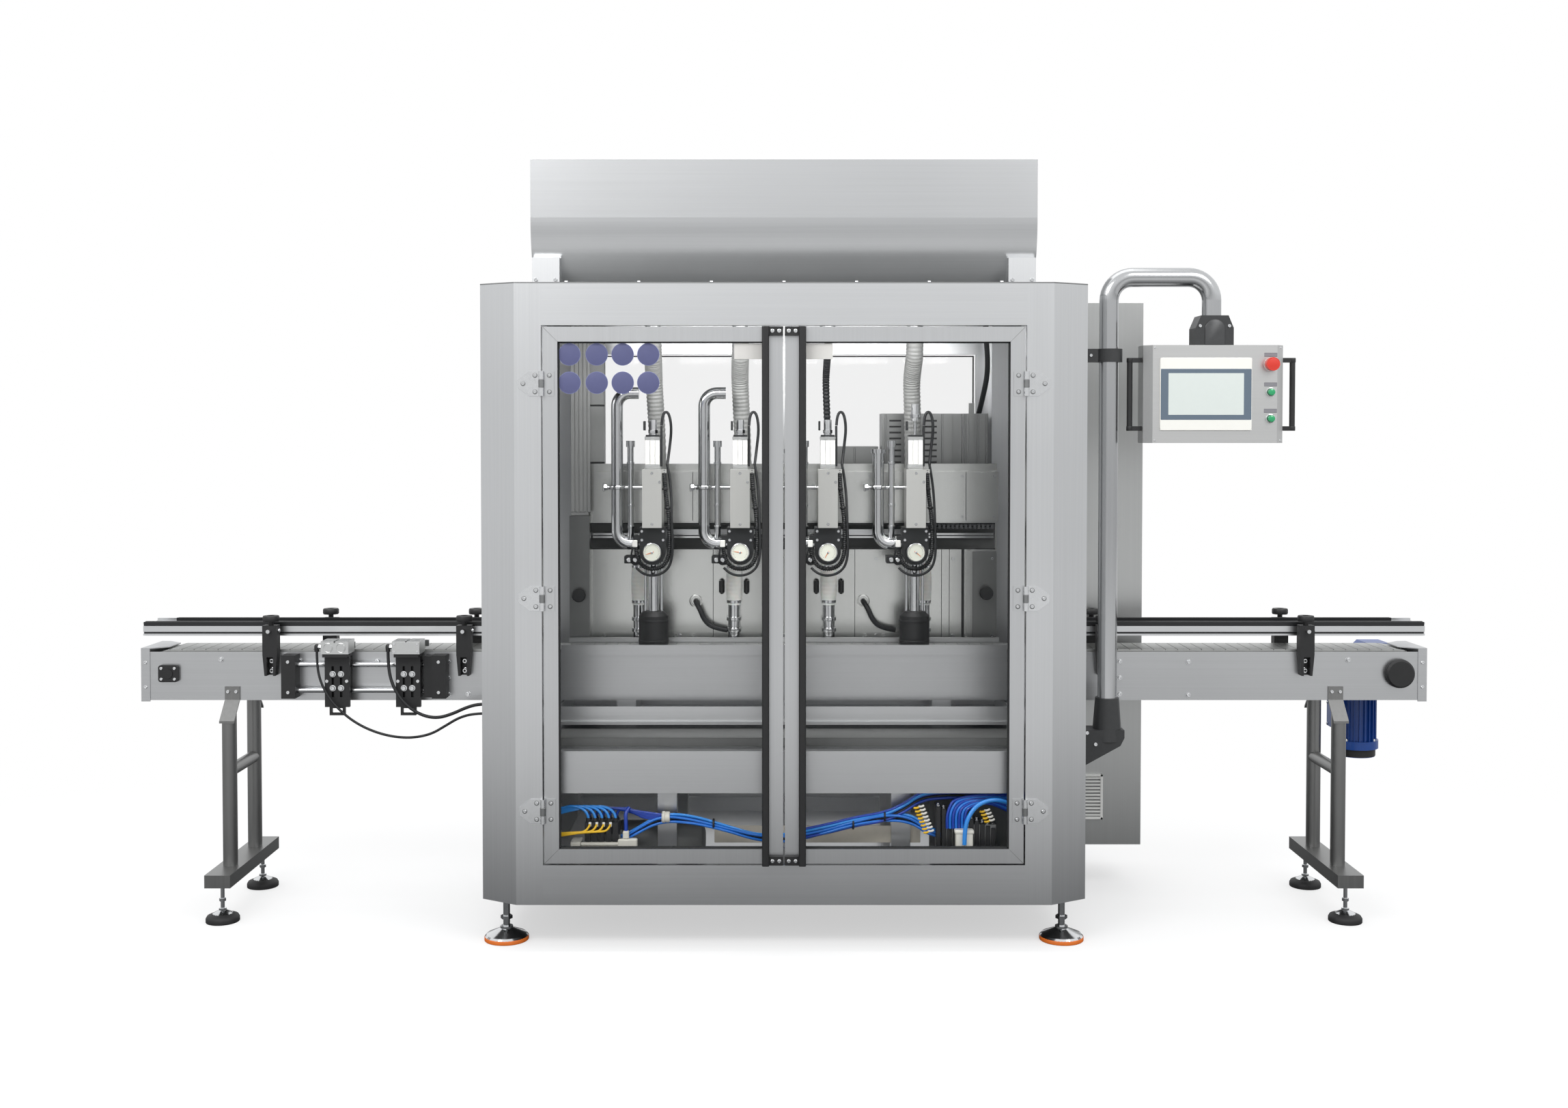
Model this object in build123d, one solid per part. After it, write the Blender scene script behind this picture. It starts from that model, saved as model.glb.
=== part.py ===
"""Tracking liquid filling machine: a glazed cabinet on levelling feet, a hopper on its roof,
a slat chain conveyor through it from left to right, four filling heads on a carriage that
follows the containers, and a control panel on a swing arm.

Millimetres. +X runs along the conveyor, +Y to the rear, +Z up. The origin is on the floor,
under the middle of the conveyor and the middle of the cabinet.
"""
from build123d import *
import math
import os

# Cabinet
CABINET_WIDTH = 1800.0
CABINET_DEPTH = 920.0
CABINET_HEIGHT = 1830.0
FLOOR_CLEARANCE = 130.0
CORNER_WIDTH = 110.0
CORNER_DEPTH = 64.0
COLUMN_DEPTH = 120.0
DOORWAY_WIDTH = 1422.0
HEADER_HEIGHT = 122.0
SILL_HEIGHT = 118.0
BEAM_DEPTH = 40.0
SHEET = 3.0
BASE_PLATE = 6.0
BASE_TUBE = 60.0
ROOF_SHEET = 4.0

# Side portals that the conveyor passes through
PORTAL_WIDTH = 300.0
PORTAL_DROP = 34.0
PORTAL_RISE = 405.0

# Doors and windows
DOOR_GAP = 5.0
DOOR_STILE = 43.0
DOOR_DEPTH = 30.0
MITRE_WIDTH = 1.0
MITRE_DEPTH = 1.0
PANE_THICKNESS = 5.0
PANE_BITE = 8.0
GRIP_WIDTH = 21.0
GRIP_PROUD = 34.0
GRIP_LAP = 2.0
GRIP_ROUND = 6.0
GRIP_CAP_HEIGHT = 26.0
GRIP_CAP_PROUD = 22.0

# Door hinges
HINGE_HEIGHTS = (409.0, 1037.0, 1667.0)
HINGE_LENGTH = 72.0
HINGE_RADIUS = 8.0
HINGE_PROUD = 9.5
HINGE_PLATE = 3.0
POST_LEAF_REACH = 70.0
POST_LEAF_SHOULDER = 29.0
DOOR_LEAF_REACH = 36.0
LEAF_POINT_HEIGHT = 24.0
KNUCKLE_GAP = 0.5

# Hopper
HOPPER_LENGTH = 1530.0
HOPPER_RADIUS = 300.0
HOPPER_AXIS_RISE = 209.0
HOPPER_RIM_RISE = 174.0
HOPPER_LIP = 20.0
HOPPER_END = 4.0
HOPPER_HOLE_GAP = 8.0
OUTLET_RADIUS = 25.0
OUTLET_LENGTH = 45.0
SADDLE_WIDTH = 83.0
SADDLE_HEIGHT = 88.0
SEAT_GAP = 0.3

# Conveyor
CONVEYOR_LENGTH = 4072.0
CONVEYOR_WIDTH = 170.0
CHAIN_TOP = 835.0
SIDE_PLATE_DROP = 7.0
SIDE_PLATE_HEIGHT = 154.0
SIDE_FLANGE = 22.0
CHAIN_WIDTH = 152.0
CHAIN_THICKNESS = 9.0
CHAIN_PITCH = 38.1
CHAIN_SLOT = 2.0
CHAIN_SLOT_DEPTH = 3.0
CHAIN_RADIUS = 75.0
SHAFT_INSET = 86.0
SHAFT_RADIUS = 15.0
SPROCKET_WIDTH = 42.0
SPROCKET_GAP = 1.0
TIE_RADIUS = 8.0
TIE_COUNT = 7
TIE_INSET = 336.0
END_FLANGE = 25.0
END_TOP_REACH = 75.0
END_CORNER = 45.0
END_LIFT = 2.0
END_SKIRT = 4.0
SHAFT_CAP_RADIUS = 45.0
SHAFT_CAP_DEPTH = 24.0
SHAFT_CAP_EDGE = 5.0
BEARING_WIDTH = 62.0
BEARING_HEIGHT = 54.0
BEARING_DEPTH = 14.0
BEARING_ROUND = 9.0
LANE_STRIP_DEPTH = 12.0
LANE_STRIP_RISE = 16.0
LANE_STRIP_LAP = 9.0
LANE_STRIP_GAP = 6.0

# Conveyor stands
STAND_INSET = 286.0
STAND_STEP = 129.0
STAND_TUBE_RADIUS = 22.5
STAND_TUBE_SPACING = 236.0
STAND_BAR_WIDTH = 80.0
STAND_BAR_HEIGHT = 40.0
STAND_BAR_LENGTH = 480.0
STAND_BAR_BOTTOM = 116.0
STAND_CROSS_RISE = 299.0
STAND_CROSS_RADIUS = 19.5
STRAP_WIDTH = 47.0
STRAP_THICKNESS = 5.0
STRAP_HEIGHT = 44.0
STRAP_DROP = 64.0
STRAP_OVERHANG = 3.0

# Levelling feet
STAND_FOOT_INSET = 47.5
STAND_PAD_RADIUS = 50.0
STAND_STUD_RADIUS = 6.0
MACHINE_FOOT_INSET_X = 66.0
MACHINE_FOOT_INSET_Y = 90.0
MACHINE_PAD_RADIUS = 65.0
MACHINE_STUD_RADIUS = 10.0
PAD_RIM = 12.0
PAD_HEIGHT = 42.0
FOOT_NUT_RISE = 22.0
FOOT_NUT_HEIGHT = 9.0

# Gear motor
GEARBOX_WIDTH = 120.0
GEARBOX_HEIGHT = 144.0
GEARBOX_DEPTH = 104.0
GEARBOX_CORNER = 24.0
MOTOR_OFFSET = 50.0
MOTOR_SETBACK = 68.0
MOTOR_RADIUS = 58.0
MOTOR_NECK_RADIUS = 48.0
MOTOR_DROP = 92.0
MOTOR_LENGTH = 216.0
MOTOR_FINS = 24
FIN_HEIGHT = 8.0
FIN_WIDTH = 3.0
SHIELD_RADIUS = 72.0
SHIELD_HEIGHT = 26.0
COWL_RADIUS = 62.0
COWL_HEIGHT = 28.0
TERMINAL_WIDTH = 70.0
TERMINAL_HEIGHT = 84.0
TERMINAL_REACH = 26.0

# Guide rails and their brackets
RAIL_LIFT = 42.0
RAIL_HEIGHT = 42.0
RAIL_DEPTH = 20.0
RAIL_STRIP_DEPTH = 8.0
RAIL_STRIP_EDGE = 7.0
RAIL_GROOVE = 3.0
RAIL_FACE = 45.0
RAIL_OVERRUN = 4.0
RAIL_CABINET_GAP = 5.0
RAIL_ROD_RADIUS = 6.0
RAIL_ROD_GAP = 0.4
RAIL_ROD_REACH = 18.0
BRACKET_WIDTH = 46.0
BRACKET_DEPTH = 34.0
BRACKET_HEAD_HEIGHT = 93.0
BRACKET_HEAD_DROP = 13.0
BRACKET_TAPER = 66.0
BRACKET_FOOT_WIDTH = 34.0
BRACKET_WALL = 7.0
BRACKET_BACK = 8.0
BOLT_RADIUS = 7.0
BOLT_HEAD = 6.0
KNOB_RADIUS = 24.0
KNOB_HEIGHT = 18.0
KNOB_NECK = 12.0
KNOB_NECK_RADIUS = 8.0
INNER_BRACKET_OFFSET = 110.0
NEAR_OUTER_INSET = 387.0
BRACKET_CLEARANCE = 18.0
FAR_OUTER_INSETS = (547.0, 406.0)

# Container stoppers on the infeed side, placed from the cabinet's side
STOPPER_END_OFFSETS = (658.0, 185.0)
STOPPER_OFFSETS = (502.0, 279.0)
STOPPER_END_WIDTH = 44.0
STOPPER_END_DEPTH = 52.0
STOPPER_END_HEIGHT = 136.0
STOPPER_END_LIFT = 13.0
STOPPER_ROD_INSETS = (23.0, 104.0)
STOPPER_ROD_RADIUS = 8.0
STOPPER_BUMPER_WIDTH = 26.0
CARRIER_WIDTH = 77.0
CARRIER_DEPTH = 14.0
CARRIER_HEIGHT = 160.0
CARRIER_BACK_INSET = 8.0
CARRIER_BACK_REACH = 36.0
CARRIER_SLOT_WIDTH = 8.0
CARRIER_SLOT_HEIGHT = 98.0
CARRIER_SLOT_SPACING = 26.0
CARRIER_LOOP_WIDTH = 48.0
CARRIER_LOOP_DROP = 26.0
CARRIER_LOOP_BAR = 7.0
SHELF_THICKNESS = 10.0
CYLINDER_WIDTH = 86.0
CYLINDER_HEIGHT = 40.0
CYLINDER_LENGTH = 74.0
CYLINDER_SETBACK = 12.0
CYLINDER_GROOVE = 5.0
CYLINDER_BORE_SPACING = 40.0
CYLINDER_TAIL = 6.0
CYLINDER_END_WALL = 8.0
STOPPER_PIN_RADIUS = 5.0
STOPPER_PIN_GAP = 0.3
STOPPER_PIN_LENGTH = 68.0
STOPPER_NOSE_HEIGHT = 20.0
STOPPER_NOSE_DEPTH = 8.0
STOPPER_NOSE_GAP = 6.0
STOPPER_STROKE = 50.0
STOPPER_REST = (0.0, STOPPER_STROKE)

# Cable fittings on the cylinders, glands on the cabinet side, and the two cables
FITTING_RADIUS = 6.0
FITTING_REACH = 18.0
FITTING_DROP = 12.0
FITTING_Y_INSET = 21.0
GLAND_RADIUS = 10.0
GLAND_LENGTH = 14.0
CABLE_RADII = (4.0, 5.0)

# Bed, tray, deck and back panel inside the cabinet
SIDE_GAP = 6.0
BED_TOP = 600.0
BED_HEIGHT = 152.0
BED_DEPTH = 660.0
BED_BEAM_HEIGHT = 126.0
BED_BEAM_DEPTH = 40.0
BED_BEAM_SETBACK = 60.0
BED_TIE = 50.0
BED_TIE_X = 600.0
BED_LEG_X = 355.0
BED_LEG_INSET = 50.0
BED_LEG = 58.0
STOOL_SPACING = 500.0
STOOL_WIDTH = 60.0
TRAY_LIFT = 13.0
TRAY_HEIGHT = 55.0
TRAY_DEPTH = 340.0
TRAY_LIP = 12.0
TRAY_LIP_HEIGHT = 10.0
DECK_DROP = 20.0
DECK_FRONT = 100.0
DECK_REAR_GAP = 20.0
DECK_POST = 40.0
DECK_POST_X = 650.0
DECK_POST_YS = (215.0, 330.0)
BACK_PANEL_Y = 150.0
BACK_PANEL_RISE = 14.0
BEAM_COVER_DEPTH = 40.0
BEAM_COVER_INSET = 12.0
BEAM_COVER_LEFT = 620.0

# Product risers on the deck
RISER_PITCH = 313.0
RISER_SHIFT = -8.5
RISER_Y = 126.0
RISER_RADIUS = 19.0
RISER_HEIGHT = 140.0
RISER_FERRULE_RADIUS = 23.0
RISER_FERRULE_HEIGHT = 12.0
RISER_FERRULE_RISES = (52.0, 88.0)
SLEEVE_RADIUS = 22.0
RISER_ELBOW_RISE = 20.0
RISER_CLEARANCE = 27.0

# Housings and valve islands
LEFT_COLUMN = (66.0, 44.0, 435.0)
TALL_HOUSING = (358.0, 140.0, 772.0)
LOW_HOUSING = (168.0, 140.0, 661.0)
HOUSING_SETBACK = 40.0
HOUSING_SPLIT = 330.0
HOUSING_GAP = 12.0
HOUSING_RECESS = (236.0, 35.0, 24.0)
HOUSING_STRIP = (292.0, 18.0, 10.0)
HOUSING_STRIP_RISE = 35.0
LEFT_ISLAND = (110.0, 60.0, 120.0)
RIGHT_ISLAND = (150.0, 60.0, 150.0)
ISLAND_XS = (-545.0, 560.0)
ISLAND_Y = -350.0
AIR_BUNDLE_RADIUS = 11.0
AIR_BUNDLE_RISE = 90.0

# Linear track of the head carriage
TRACK_CENTRE = 1180.0
TRACK_Y = 182.0
TRACK_HEIGHT = 20.0
TRACK_DEPTH = 18.0
TRACK_PLATE = 12.0
TRACK_PLATE_RISE = 80.0
SLOT_HALF = 700.0
SLOT_HEIGHT = 80.0
TRACKING_TRAVEL = 110.0
RUNNER_GAP = 0.3
RUNNER_DEPTH = 22.0
RUNNER_WIDTH = 60.0
RUNNER_HEIGHT = 44.0
TIE_BAR_HEIGHT = 16.0
ARM_WIDTH = 40.0

# Filling heads
HEAD_PITCH = 280.0
HEAD_COUNT = 4
HEAD_WIDTH = 62.0
HEAD_COVER_LIFT = 40.0
HEAD_COVER_HEIGHT = 186.0
HEAD_FRONT = -62.0
HEAD_BACK = 40.0
VALVE_BLOCK_WIDTH = 84.0
VALVE_BLOCK_FRONT = -40.0
GAUGE_DROP = 78.0
GAUGE_RADIUS = 30.0
GAUGE_DEPTH = 26.0
GAUGE_STEM = 12.0
HEAD_CYLINDER = 47.0
HEAD_CYLINDER_HEIGHT = 100.0
HEAD_ROD_RADIUS = 5.0
HEAD_ROD_OUT = (4.0, 4.0, 4.0, 54.0)
HEAD_CAP_RADIUS = 12.5
HEAD_CAP_HEIGHT = 54.0
NOZZLE_RADIUS = 15.5
NOZZLE_BAR_RADIUS = 4.0
NOZZLE_BAR_SPACING = 52.0
SHROUD_RADIUS = 48.0
SHROUD_HEIGHT = 106.0
SHROUD_SHOULDER = 14.0
SHROUD_LIFT = 7.0

# Bent pipe and level tube at the left of each head
PIPE_RADIUS = 19.0
PIPE_OFFSET = 117.0
PIPE_Y = 5.0
PIPE_BEND = 42.0
PIPE_RISE = 244.0
PIPE_HOOK = 70.0
HOOKED_PIPES = 2
STRAIGHT_RISE = 64.0
PIPE_DROP = 55.0
PIPE_CLAMP_RISE = 120.0
PIPE_CLAMP_RADIUS = 25.0
PIPE_CLAMP_HEIGHT = 13.0
PIPE_BAR_RADIUS = 6.0
LEVEL_OFFSET = 74.0
LEVEL_RADIUS = 10.0
LEVEL_RISE = 91.0
LEVEL_CAP_RADIUS = 14.0
LEVEL_CAP_HEIGHT = 20.0

# Corrugated hose round each valve block
HOSE_RADIUS = 6.0
HOSE_Y = -34.0
HOSE_GAP = 6.0
HOSE_CLIP_GAP = 1.0
HOSE_CLIP_HEIGHT = 12.0
HOSE_FITTING_LIFT = 30.0
HOSE_FITTING_HEIGHT = 22.0

# Control panel and its arm
ARM_OFFSET = 90.0
ARM_Y = -260.0
ARM_TUBE_RADIUS = 29.0
ARM_BEND = 70.0
ARM_TOP = 1996.0
ARM_SPAN = 312.0
ARM_BOTTOM = 690.0
ARM_DROP = 128.0
ARM_GAP = 0.3
SOCKET_LIP = 22.0
SOCKET_HEIGHT = 130.0
SOCKET_TOP_RADIUS = 36.0
SOCKET_BOTTOM_RADIUS = 46.0
SOCKET_FOOT_WIDTH = 80.0
SOCKET_FOOT_DROP = 182.0
SOCKET_FOOT_TIP = 12.0
CLAMP_BOTTOM = 1738.0
CLAMP_HEIGHT = 40.0
CLAMP_WALL = 12.0
COUPLING_HEIGHT = 90.0
COUPLING_WIDTH = 115.0
COUPLING_DEPTH = 80.0
COUPLING_SEAT = 10.0
COUPLING_CORNER = 16.0
COUPLING_NECK = 38.0
COUPLING_GAP = 0.3
PANEL_WIDTH = 424.0
PANEL_HEIGHT = 296.0
PANEL_DEPTH = 92.0
PANEL_EDGE = 24.0
SCREEN_WIDTH = 276.0
SCREEN_HEIGHT = 218.0
SCREEN_PROUD = 5.0
SCREEN_SHIFT = 28.0
HANDLE_LENGTH = 222.0
HANDLE_REACH = 36.0
HANDLE_RADIUS = 8.5
HANDLE_FOOT = 14.0
BUTTON_X = 168.0
BUTTON_DROPS = (58.0, 142.0, 222.0)
BUTTON_RADII = (20.0, 10.0, 10.0)
BUTTON_PROUD = (22.0, 9.0, 9.0)
BUTTON_STEM = 10.0
BUTTON_STEM_DEPTH = 5.0
BUTTON_HOLE_DEPTH = 12.0
BUTTON_GAP = 0.3
BUTTON_LIFT = 6.0

# Electrical cabinet
ELECTRICAL_WIDTH = 288.0
ELECTRICAL_FRONT = 157.0
ELECTRICAL_DEPTH = 337.0
ELECTRICAL_LIFT = 20.0
ELECTRICAL_HEIGHT = 1801.0
GRILLE_SIZE = 152.0
GRILLE_INSET = 8.0
GRILLE_RISE = 86.0
GRILLE_PROUD = 6.0
GRILLE_SLOTS = 9
GRILLE_SLOT_HEIGHT = 6.0
GRILLE_SLOT_DEPTH = 4.0
GRILLE_RIM = 12.0

# Places worked out from the sizes above
cabinet_x = CABINET_WIDTH / 2
cabinet_y = CABINET_DEPTH / 2
cabinet_bottom = FLOOR_CLEARANCE
cabinet_top = FLOOR_CLEARANCE + CABINET_HEIGHT
doorway_x = DOORWAY_WIDTH / 2
sill_top = cabinet_bottom + SILL_HEIGHT
header_bottom = cabinet_top - HEADER_HEIGHT
inside_x = doorway_x - SIDE_GAP
floor_top = cabinet_bottom + BASE_PLATE + BASE_TUBE + SHEET

roof_top = cabinet_top + ROOF_SHEET
hopper_axis = roof_top + HOPPER_AXIS_RISE
hopper_top = hopper_axis + HOPPER_RIM_RISE
hopper_floor = hopper_axis - HOPPER_RADIUS

conveyor_x = CONVEYOR_LENGTH / 2
conveyor_y = CONVEYOR_WIDTH / 2
plate_top = CHAIN_TOP - SIDE_PLATE_DROP
plate_bottom = plate_top - SIDE_PLATE_HEIGHT
shaft_x = conveyor_x - SHAFT_INSET
shaft_z = CHAIN_TOP - CHAIN_RADIUS
tie_xs = [
    (conveyor_x - TIE_INSET) * (2 * i / (TIE_COUNT - 1) - 1) for i in range(TIE_COUNT)
]

stopper_xs = [-cabinet_x - offset_x for offset_x in STOPPER_OFFSETS]
stopper_end_xs = [-cabinet_x - offset_x for offset_x in STOPPER_END_OFFSETS]

rail_z = CHAIN_TOP + RAIL_LIFT
rail_rod_z = rail_z + RAIL_HEIGHT / 2
outer_bracket_x = stopper_end_xs[0] - STOPPER_END_WIDTH / 2 - BRACKET_CLEARANCE - BRACKET_WIDTH / 2
near_bracket_xs = [
    outer_bracket_x, -cabinet_x - INNER_BRACKET_OFFSET,
    cabinet_x + INNER_BRACKET_OFFSET, conveyor_x - NEAR_OUTER_INSET,
]
far_bracket_xs = [
    -conveyor_x + FAR_OUTER_INSETS[0], -cabinet_x - INNER_BRACKET_OFFSET,
    cabinet_x + INNER_BRACKET_OFFSET, conveyor_x - FAR_OUTER_INSETS[1],
]
stand_xs = (outer_bracket_x - STAND_STEP, conveyor_x - STAND_INSET)

stopper_rod_y = -conveyor_y - STOPPER_END_DEPTH / 2
stopper_end_z = plate_bottom + STOPPER_END_LIFT
carrier_top = plate_top - 6
cylinder_z = carrier_top + SHELF_THICKNESS
cylinder_y1 = -conveyor_y - CYLINDER_SETBACK
cylinder_y0 = cylinder_y1 - CYLINDER_LENGTH

tray_z = BED_TOP + TRAY_LIFT
deck_z = CHAIN_TOP - DECK_DROP
cover_z = TRACK_CENTRE + HEAD_COVER_LIFT
cover_top = cover_z + HEAD_COVER_HEIGHT
gauge_z = cover_z - GAUGE_DROP
head_xs = [HEAD_PITCH * (i - (HEAD_COUNT - 1) / 2) for i in range(HEAD_COUNT)]
riser_xs = [RISER_SHIFT + RISER_PITCH * (i - (HEAD_COUNT - 1) / 2) for i in range(HEAD_COUNT)]
riser_top = deck_z + RISER_HEIGHT
elbow_z = TRACK_CENTRE - RUNNER_HEIGHT / 2 - RISER_CLEARANCE - RISER_RADIUS
sleeve_top = elbow_z - RISER_ELBOW_RISE

arm_x = cabinet_x + ARM_OFFSET
panel_x = arm_x + ARM_SPAN
drop_z = ARM_TOP - ARM_DROP
panel_top = drop_z + COUPLING_SEAT - COUPLING_HEIGHT
panel_bottom = panel_top - PANEL_HEIGHT
panel_front = ARM_Y - PANEL_DEPTH / 2
panel_back = ARM_Y + PANEL_DEPTH / 2


def block(x0, x1, y0, y1, z0, z1):
    """A box between two opposite corners."""
    return Pos((x0 + x1) / 2, (y0 + y1) / 2, (z0 + z1) / 2) * Box(x1 - x0, y1 - y0, z1 - z0)


def rod_x(x0, x1, y, z, radius):
    return Pos((x0 + x1) / 2, y, z) * Rot(0, 90, 0) * Cylinder(radius, x1 - x0)


def rod_y(y0, y1, x, z, radius):
    return Pos(x, (y0 + y1) / 2, z) * Rot(90, 0, 0) * Cylinder(radius, y1 - y0)


def rod_z(z0, z1, x, y, radius):
    return Pos(x, y, (z0 + z1) / 2) * Cylinder(radius, z1 - z0)


def outline(points):
    return make_face(Polyline(*points, close=True))


def plan(points, z0, z1):
    """A plate with an outline in X and Y, from height z0 to z1."""
    return Pos(0, 0, z0) * extrude(outline(points), amount=z1 - z0)


def front(points, y0, y1):
    """A plate with an outline in X and Z, from y0 back to y1."""
    return Pos(0, y1, 0) * extrude(Plane.XZ * outline(points), amount=y1 - y0)


def side(points, x0, x1):
    """A plate with an outline in Y and Z, from x0 to x1."""
    return Pos(x0, 0, 0) * extrude(Plane.YZ * outline(points), amount=x1 - x0)


def mirror_x(shape):
    return mirror(shape, about=Plane.YZ)


def mirror_y(shape):
    return mirror(shape, about=Plane.XZ)


def four_corners(shape):
    pair = [shape, mirror_x(shape)]
    return pair + [mirror_y(s) for s in pair]


def fused(shapes):
    whole = shapes[0]
    for shape in shapes[1:]:
        whole += shape
    return whole


def group(shapes):
    """Solids of one node that stay separate."""
    return Compound([s for shape in shapes for s in shape.solids()])


# Cabinet

def corner_columns():
    """Hollow columns: front flange, chamfered corner and side flange, folded from sheet."""
    face = outline(
        [(doorway_x, -cabinet_y), (cabinet_x - CORNER_WIDTH, -cabinet_y),
         (cabinet_x, -cabinet_y + CORNER_DEPTH), (cabinet_x, -cabinet_y + COLUMN_DEPTH),
         (doorway_x, -cabinet_y + COLUMN_DEPTH)]
    )
    ring = face - offset(face, amount=-SHEET)
    column = Pos(0, 0, cabinet_bottom + BASE_PLATE) * extrude(ring, amount=CABINET_HEIGHT - BASE_PLATE)
    return group(four_corners(column))


def cabinet_plan():
    right = [
        (cabinet_x - CORNER_WIDTH, -cabinet_y), (cabinet_x, -cabinet_y + CORNER_DEPTH),
        (cabinet_x, cabinet_y - CORNER_DEPTH), (cabinet_x - CORNER_WIDTH, cabinet_y),
    ]
    return right + [(-x, y) for x, y in reversed(right)]


def base_frame():
    """Base plate, two cross tubes and the floor sheet of the lower bay."""
    plate = plan(cabinet_plan(), cabinet_bottom, cabinet_bottom + BASE_PLATE)
    z0 = cabinet_bottom + BASE_PLATE
    inner_y = cabinet_y - BEAM_DEPTH
    tubes = [
        block(x - BASE_TUBE / 2, x + BASE_TUBE / 2, -inner_y, inner_y, z0, z0 + BASE_TUBE)
        for x in (-BED_LEG_X, BED_LEG_X)
    ]
    floor = block(-doorway_x, doorway_x, -inner_y, inner_y, z0 + BASE_TUBE, floor_top)
    return fused([plate, *tubes, floor])


def cabinet_beams():
    """Hollow header and sill beams between the columns, front and rear."""
    def beam(z0, z1):
        y0, y1 = -cabinet_y, -cabinet_y + BEAM_DEPTH
        outer = block(-doorway_x, doorway_x, y0, y1, z0, z1)
        return outer - block(-doorway_x, doorway_x, y0 + SHEET, y1 - SHEET, z0 + SHEET, z1 - SHEET)
    beams = [beam(header_bottom, cabinet_top), beam(cabinet_bottom + BASE_PLATE, sill_top)]
    return group(beams + [mirror_y(b) for b in beams])


def hopper_half_width(z, radius):
    """Half the width of the round-bottomed hopper at a height below its axis."""
    return math.sqrt(radius**2 - (hopper_axis - z) ** 2)


def roof_panel():
    hole_x = HOPPER_LENGTH / 2 + HOPPER_HOLE_GAP
    hole_y = hopper_half_width(roof_top, HOPPER_RADIUS) + HOPPER_HOLE_GAP
    sheet = plan(cabinet_plan(), cabinet_top, roof_top)
    return sheet - block(-hole_x, hole_x, -hole_y, hole_y, cabinet_top - 1, roof_top + 1)


def side_panel():
    """The right side panel with its portal for the conveyor."""
    y = cabinet_y - COLUMN_DEPTH
    panel = block(cabinet_x - SHEET, cabinet_x, -y, y, cabinet_bottom + BASE_PLATE, cabinet_top)
    return panel - block(
        cabinet_x - 2 * SHEET, cabinet_x + SHEET, -PORTAL_WIDTH / 2, PORTAL_WIDTH / 2,
        plate_bottom - PORTAL_DROP, CHAIN_TOP + PORTAL_RISE,
    )


def side_panels():
    """Both side panels; the left one carries the glands of the stoppers' cables."""
    left = mirror_x(side_panel())
    for x, y, z in (FRONT_CABLE[-1], REAR_CABLE[-1]):
        left += rod_x(-cabinet_x - GLAND_LENGTH, -cabinet_x, y, z, GLAND_RADIUS)
    return group([left, side_panel()])


# Doors and windows

def door_edges():
    """Meeting edge, hinge edge, bottom and top of the right-hand door."""
    return DOOR_GAP / 2, doorway_x - DOOR_GAP, sill_top + DOOR_GAP, header_bottom - DOOR_GAP


def mitre(x, z, sx, sz, face_y):
    """The fine line where two frame members meet, from corner (x, z) inwards."""
    t = MITRE_WIDTH
    s = DOOR_STILE
    return front(
        [(x - sx * t, z), (x, z - sz * t), (x + sx * (s + t), z + sz * s), (x + sx * s, z + sz * (s + t))],
        face_y - 1, face_y + MITRE_DEPTH,
    )


def window_frame(x0, x1, z0, z1):
    """A mitred frame with a groove that holds the pane's edges."""
    y0 = -cabinet_y
    middle = y0 + DOOR_DEPTH / 2
    s = DOOR_STILE
    b = s - PANE_BITE
    frame = block(x0, x1, y0, y0 + DOOR_DEPTH, z0, z1)
    frame -= block(x0 + s, x1 - s, y0 - 1, y0 + DOOR_DEPTH + 1, z0 + s, z1 - s)
    frame -= block(
        x0 + b, x1 - b, middle - PANE_THICKNESS / 2, middle + PANE_THICKNESS / 2, z0 + b, z1 - b
    )
    for x, sx in ((x0, 1), (x1, -1)):
        for z, sz in ((z0, 1), (z1, -1)):
            frame -= mitre(x, z, sx, sz, y0)
    return frame


def window_pane(x0, x1, z0, z1):
    middle = -cabinet_y + DOOR_DEPTH / 2
    b = DOOR_STILE - PANE_BITE
    return block(
        x0 + b, x1 - b, middle - PANE_THICKNESS / 2, middle + PANE_THICKNESS / 2, z0 + b, z1 - b
    )


def hinge_axis():
    return doorway_x - DOOR_GAP / 2, -cabinet_y - HINGE_PROUD


def knuckle(z0, z1, edge_x):
    """A barrel segment with the web that joins it to the leaf's edge."""
    x, y = hinge_axis()
    web = block(min(x, edge_x), max(x, edge_x), y, -cabinet_y, z0, z1)
    return rod_z(z0, z1, x, y, HINGE_RADIUS) + web


def hinge_spans(z):
    """Heights of the lower, middle and upper knuckles of a hinge at height z."""
    third = HINGE_LENGTH / 3
    low = z - HINGE_LENGTH / 2
    gap = KNUCKLE_GAP / 2
    return [
        (low, low + third - gap),
        (low + third + gap, low + 2 * third - gap),
        (low + 2 * third + gap, low + HINGE_LENGTH),
    ]


def post_hinge_leaf(z):
    """The pointed leaf that is screwed to the right column, with two knuckles."""
    inner = hinge_axis()[0] + HINGE_RADIUS + KNUCKLE_GAP
    tip = hinge_axis()[0] + POST_LEAF_REACH
    shoulder = inner + POST_LEAF_SHOULDER
    half, point = HINGE_LENGTH / 2, LEAF_POINT_HEIGHT / 2
    leaf = front(
        [(inner, z - half), (shoulder, z - half), (tip, z - point), (tip, z + point),
         (shoulder, z + half), (inner, z + half)],
        -cabinet_y - HINGE_PLATE, -cabinet_y,
    )
    lower, _, upper = hinge_spans(z)
    return fused([leaf, knuckle(*lower, inner), knuckle(*upper, inner)])


def post_hinge_leaves():
    leaves = [post_hinge_leaf(z) for z in HINGE_HEIGHTS]
    return group(leaves + [mirror_x(leaf) for leaf in leaves])


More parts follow.
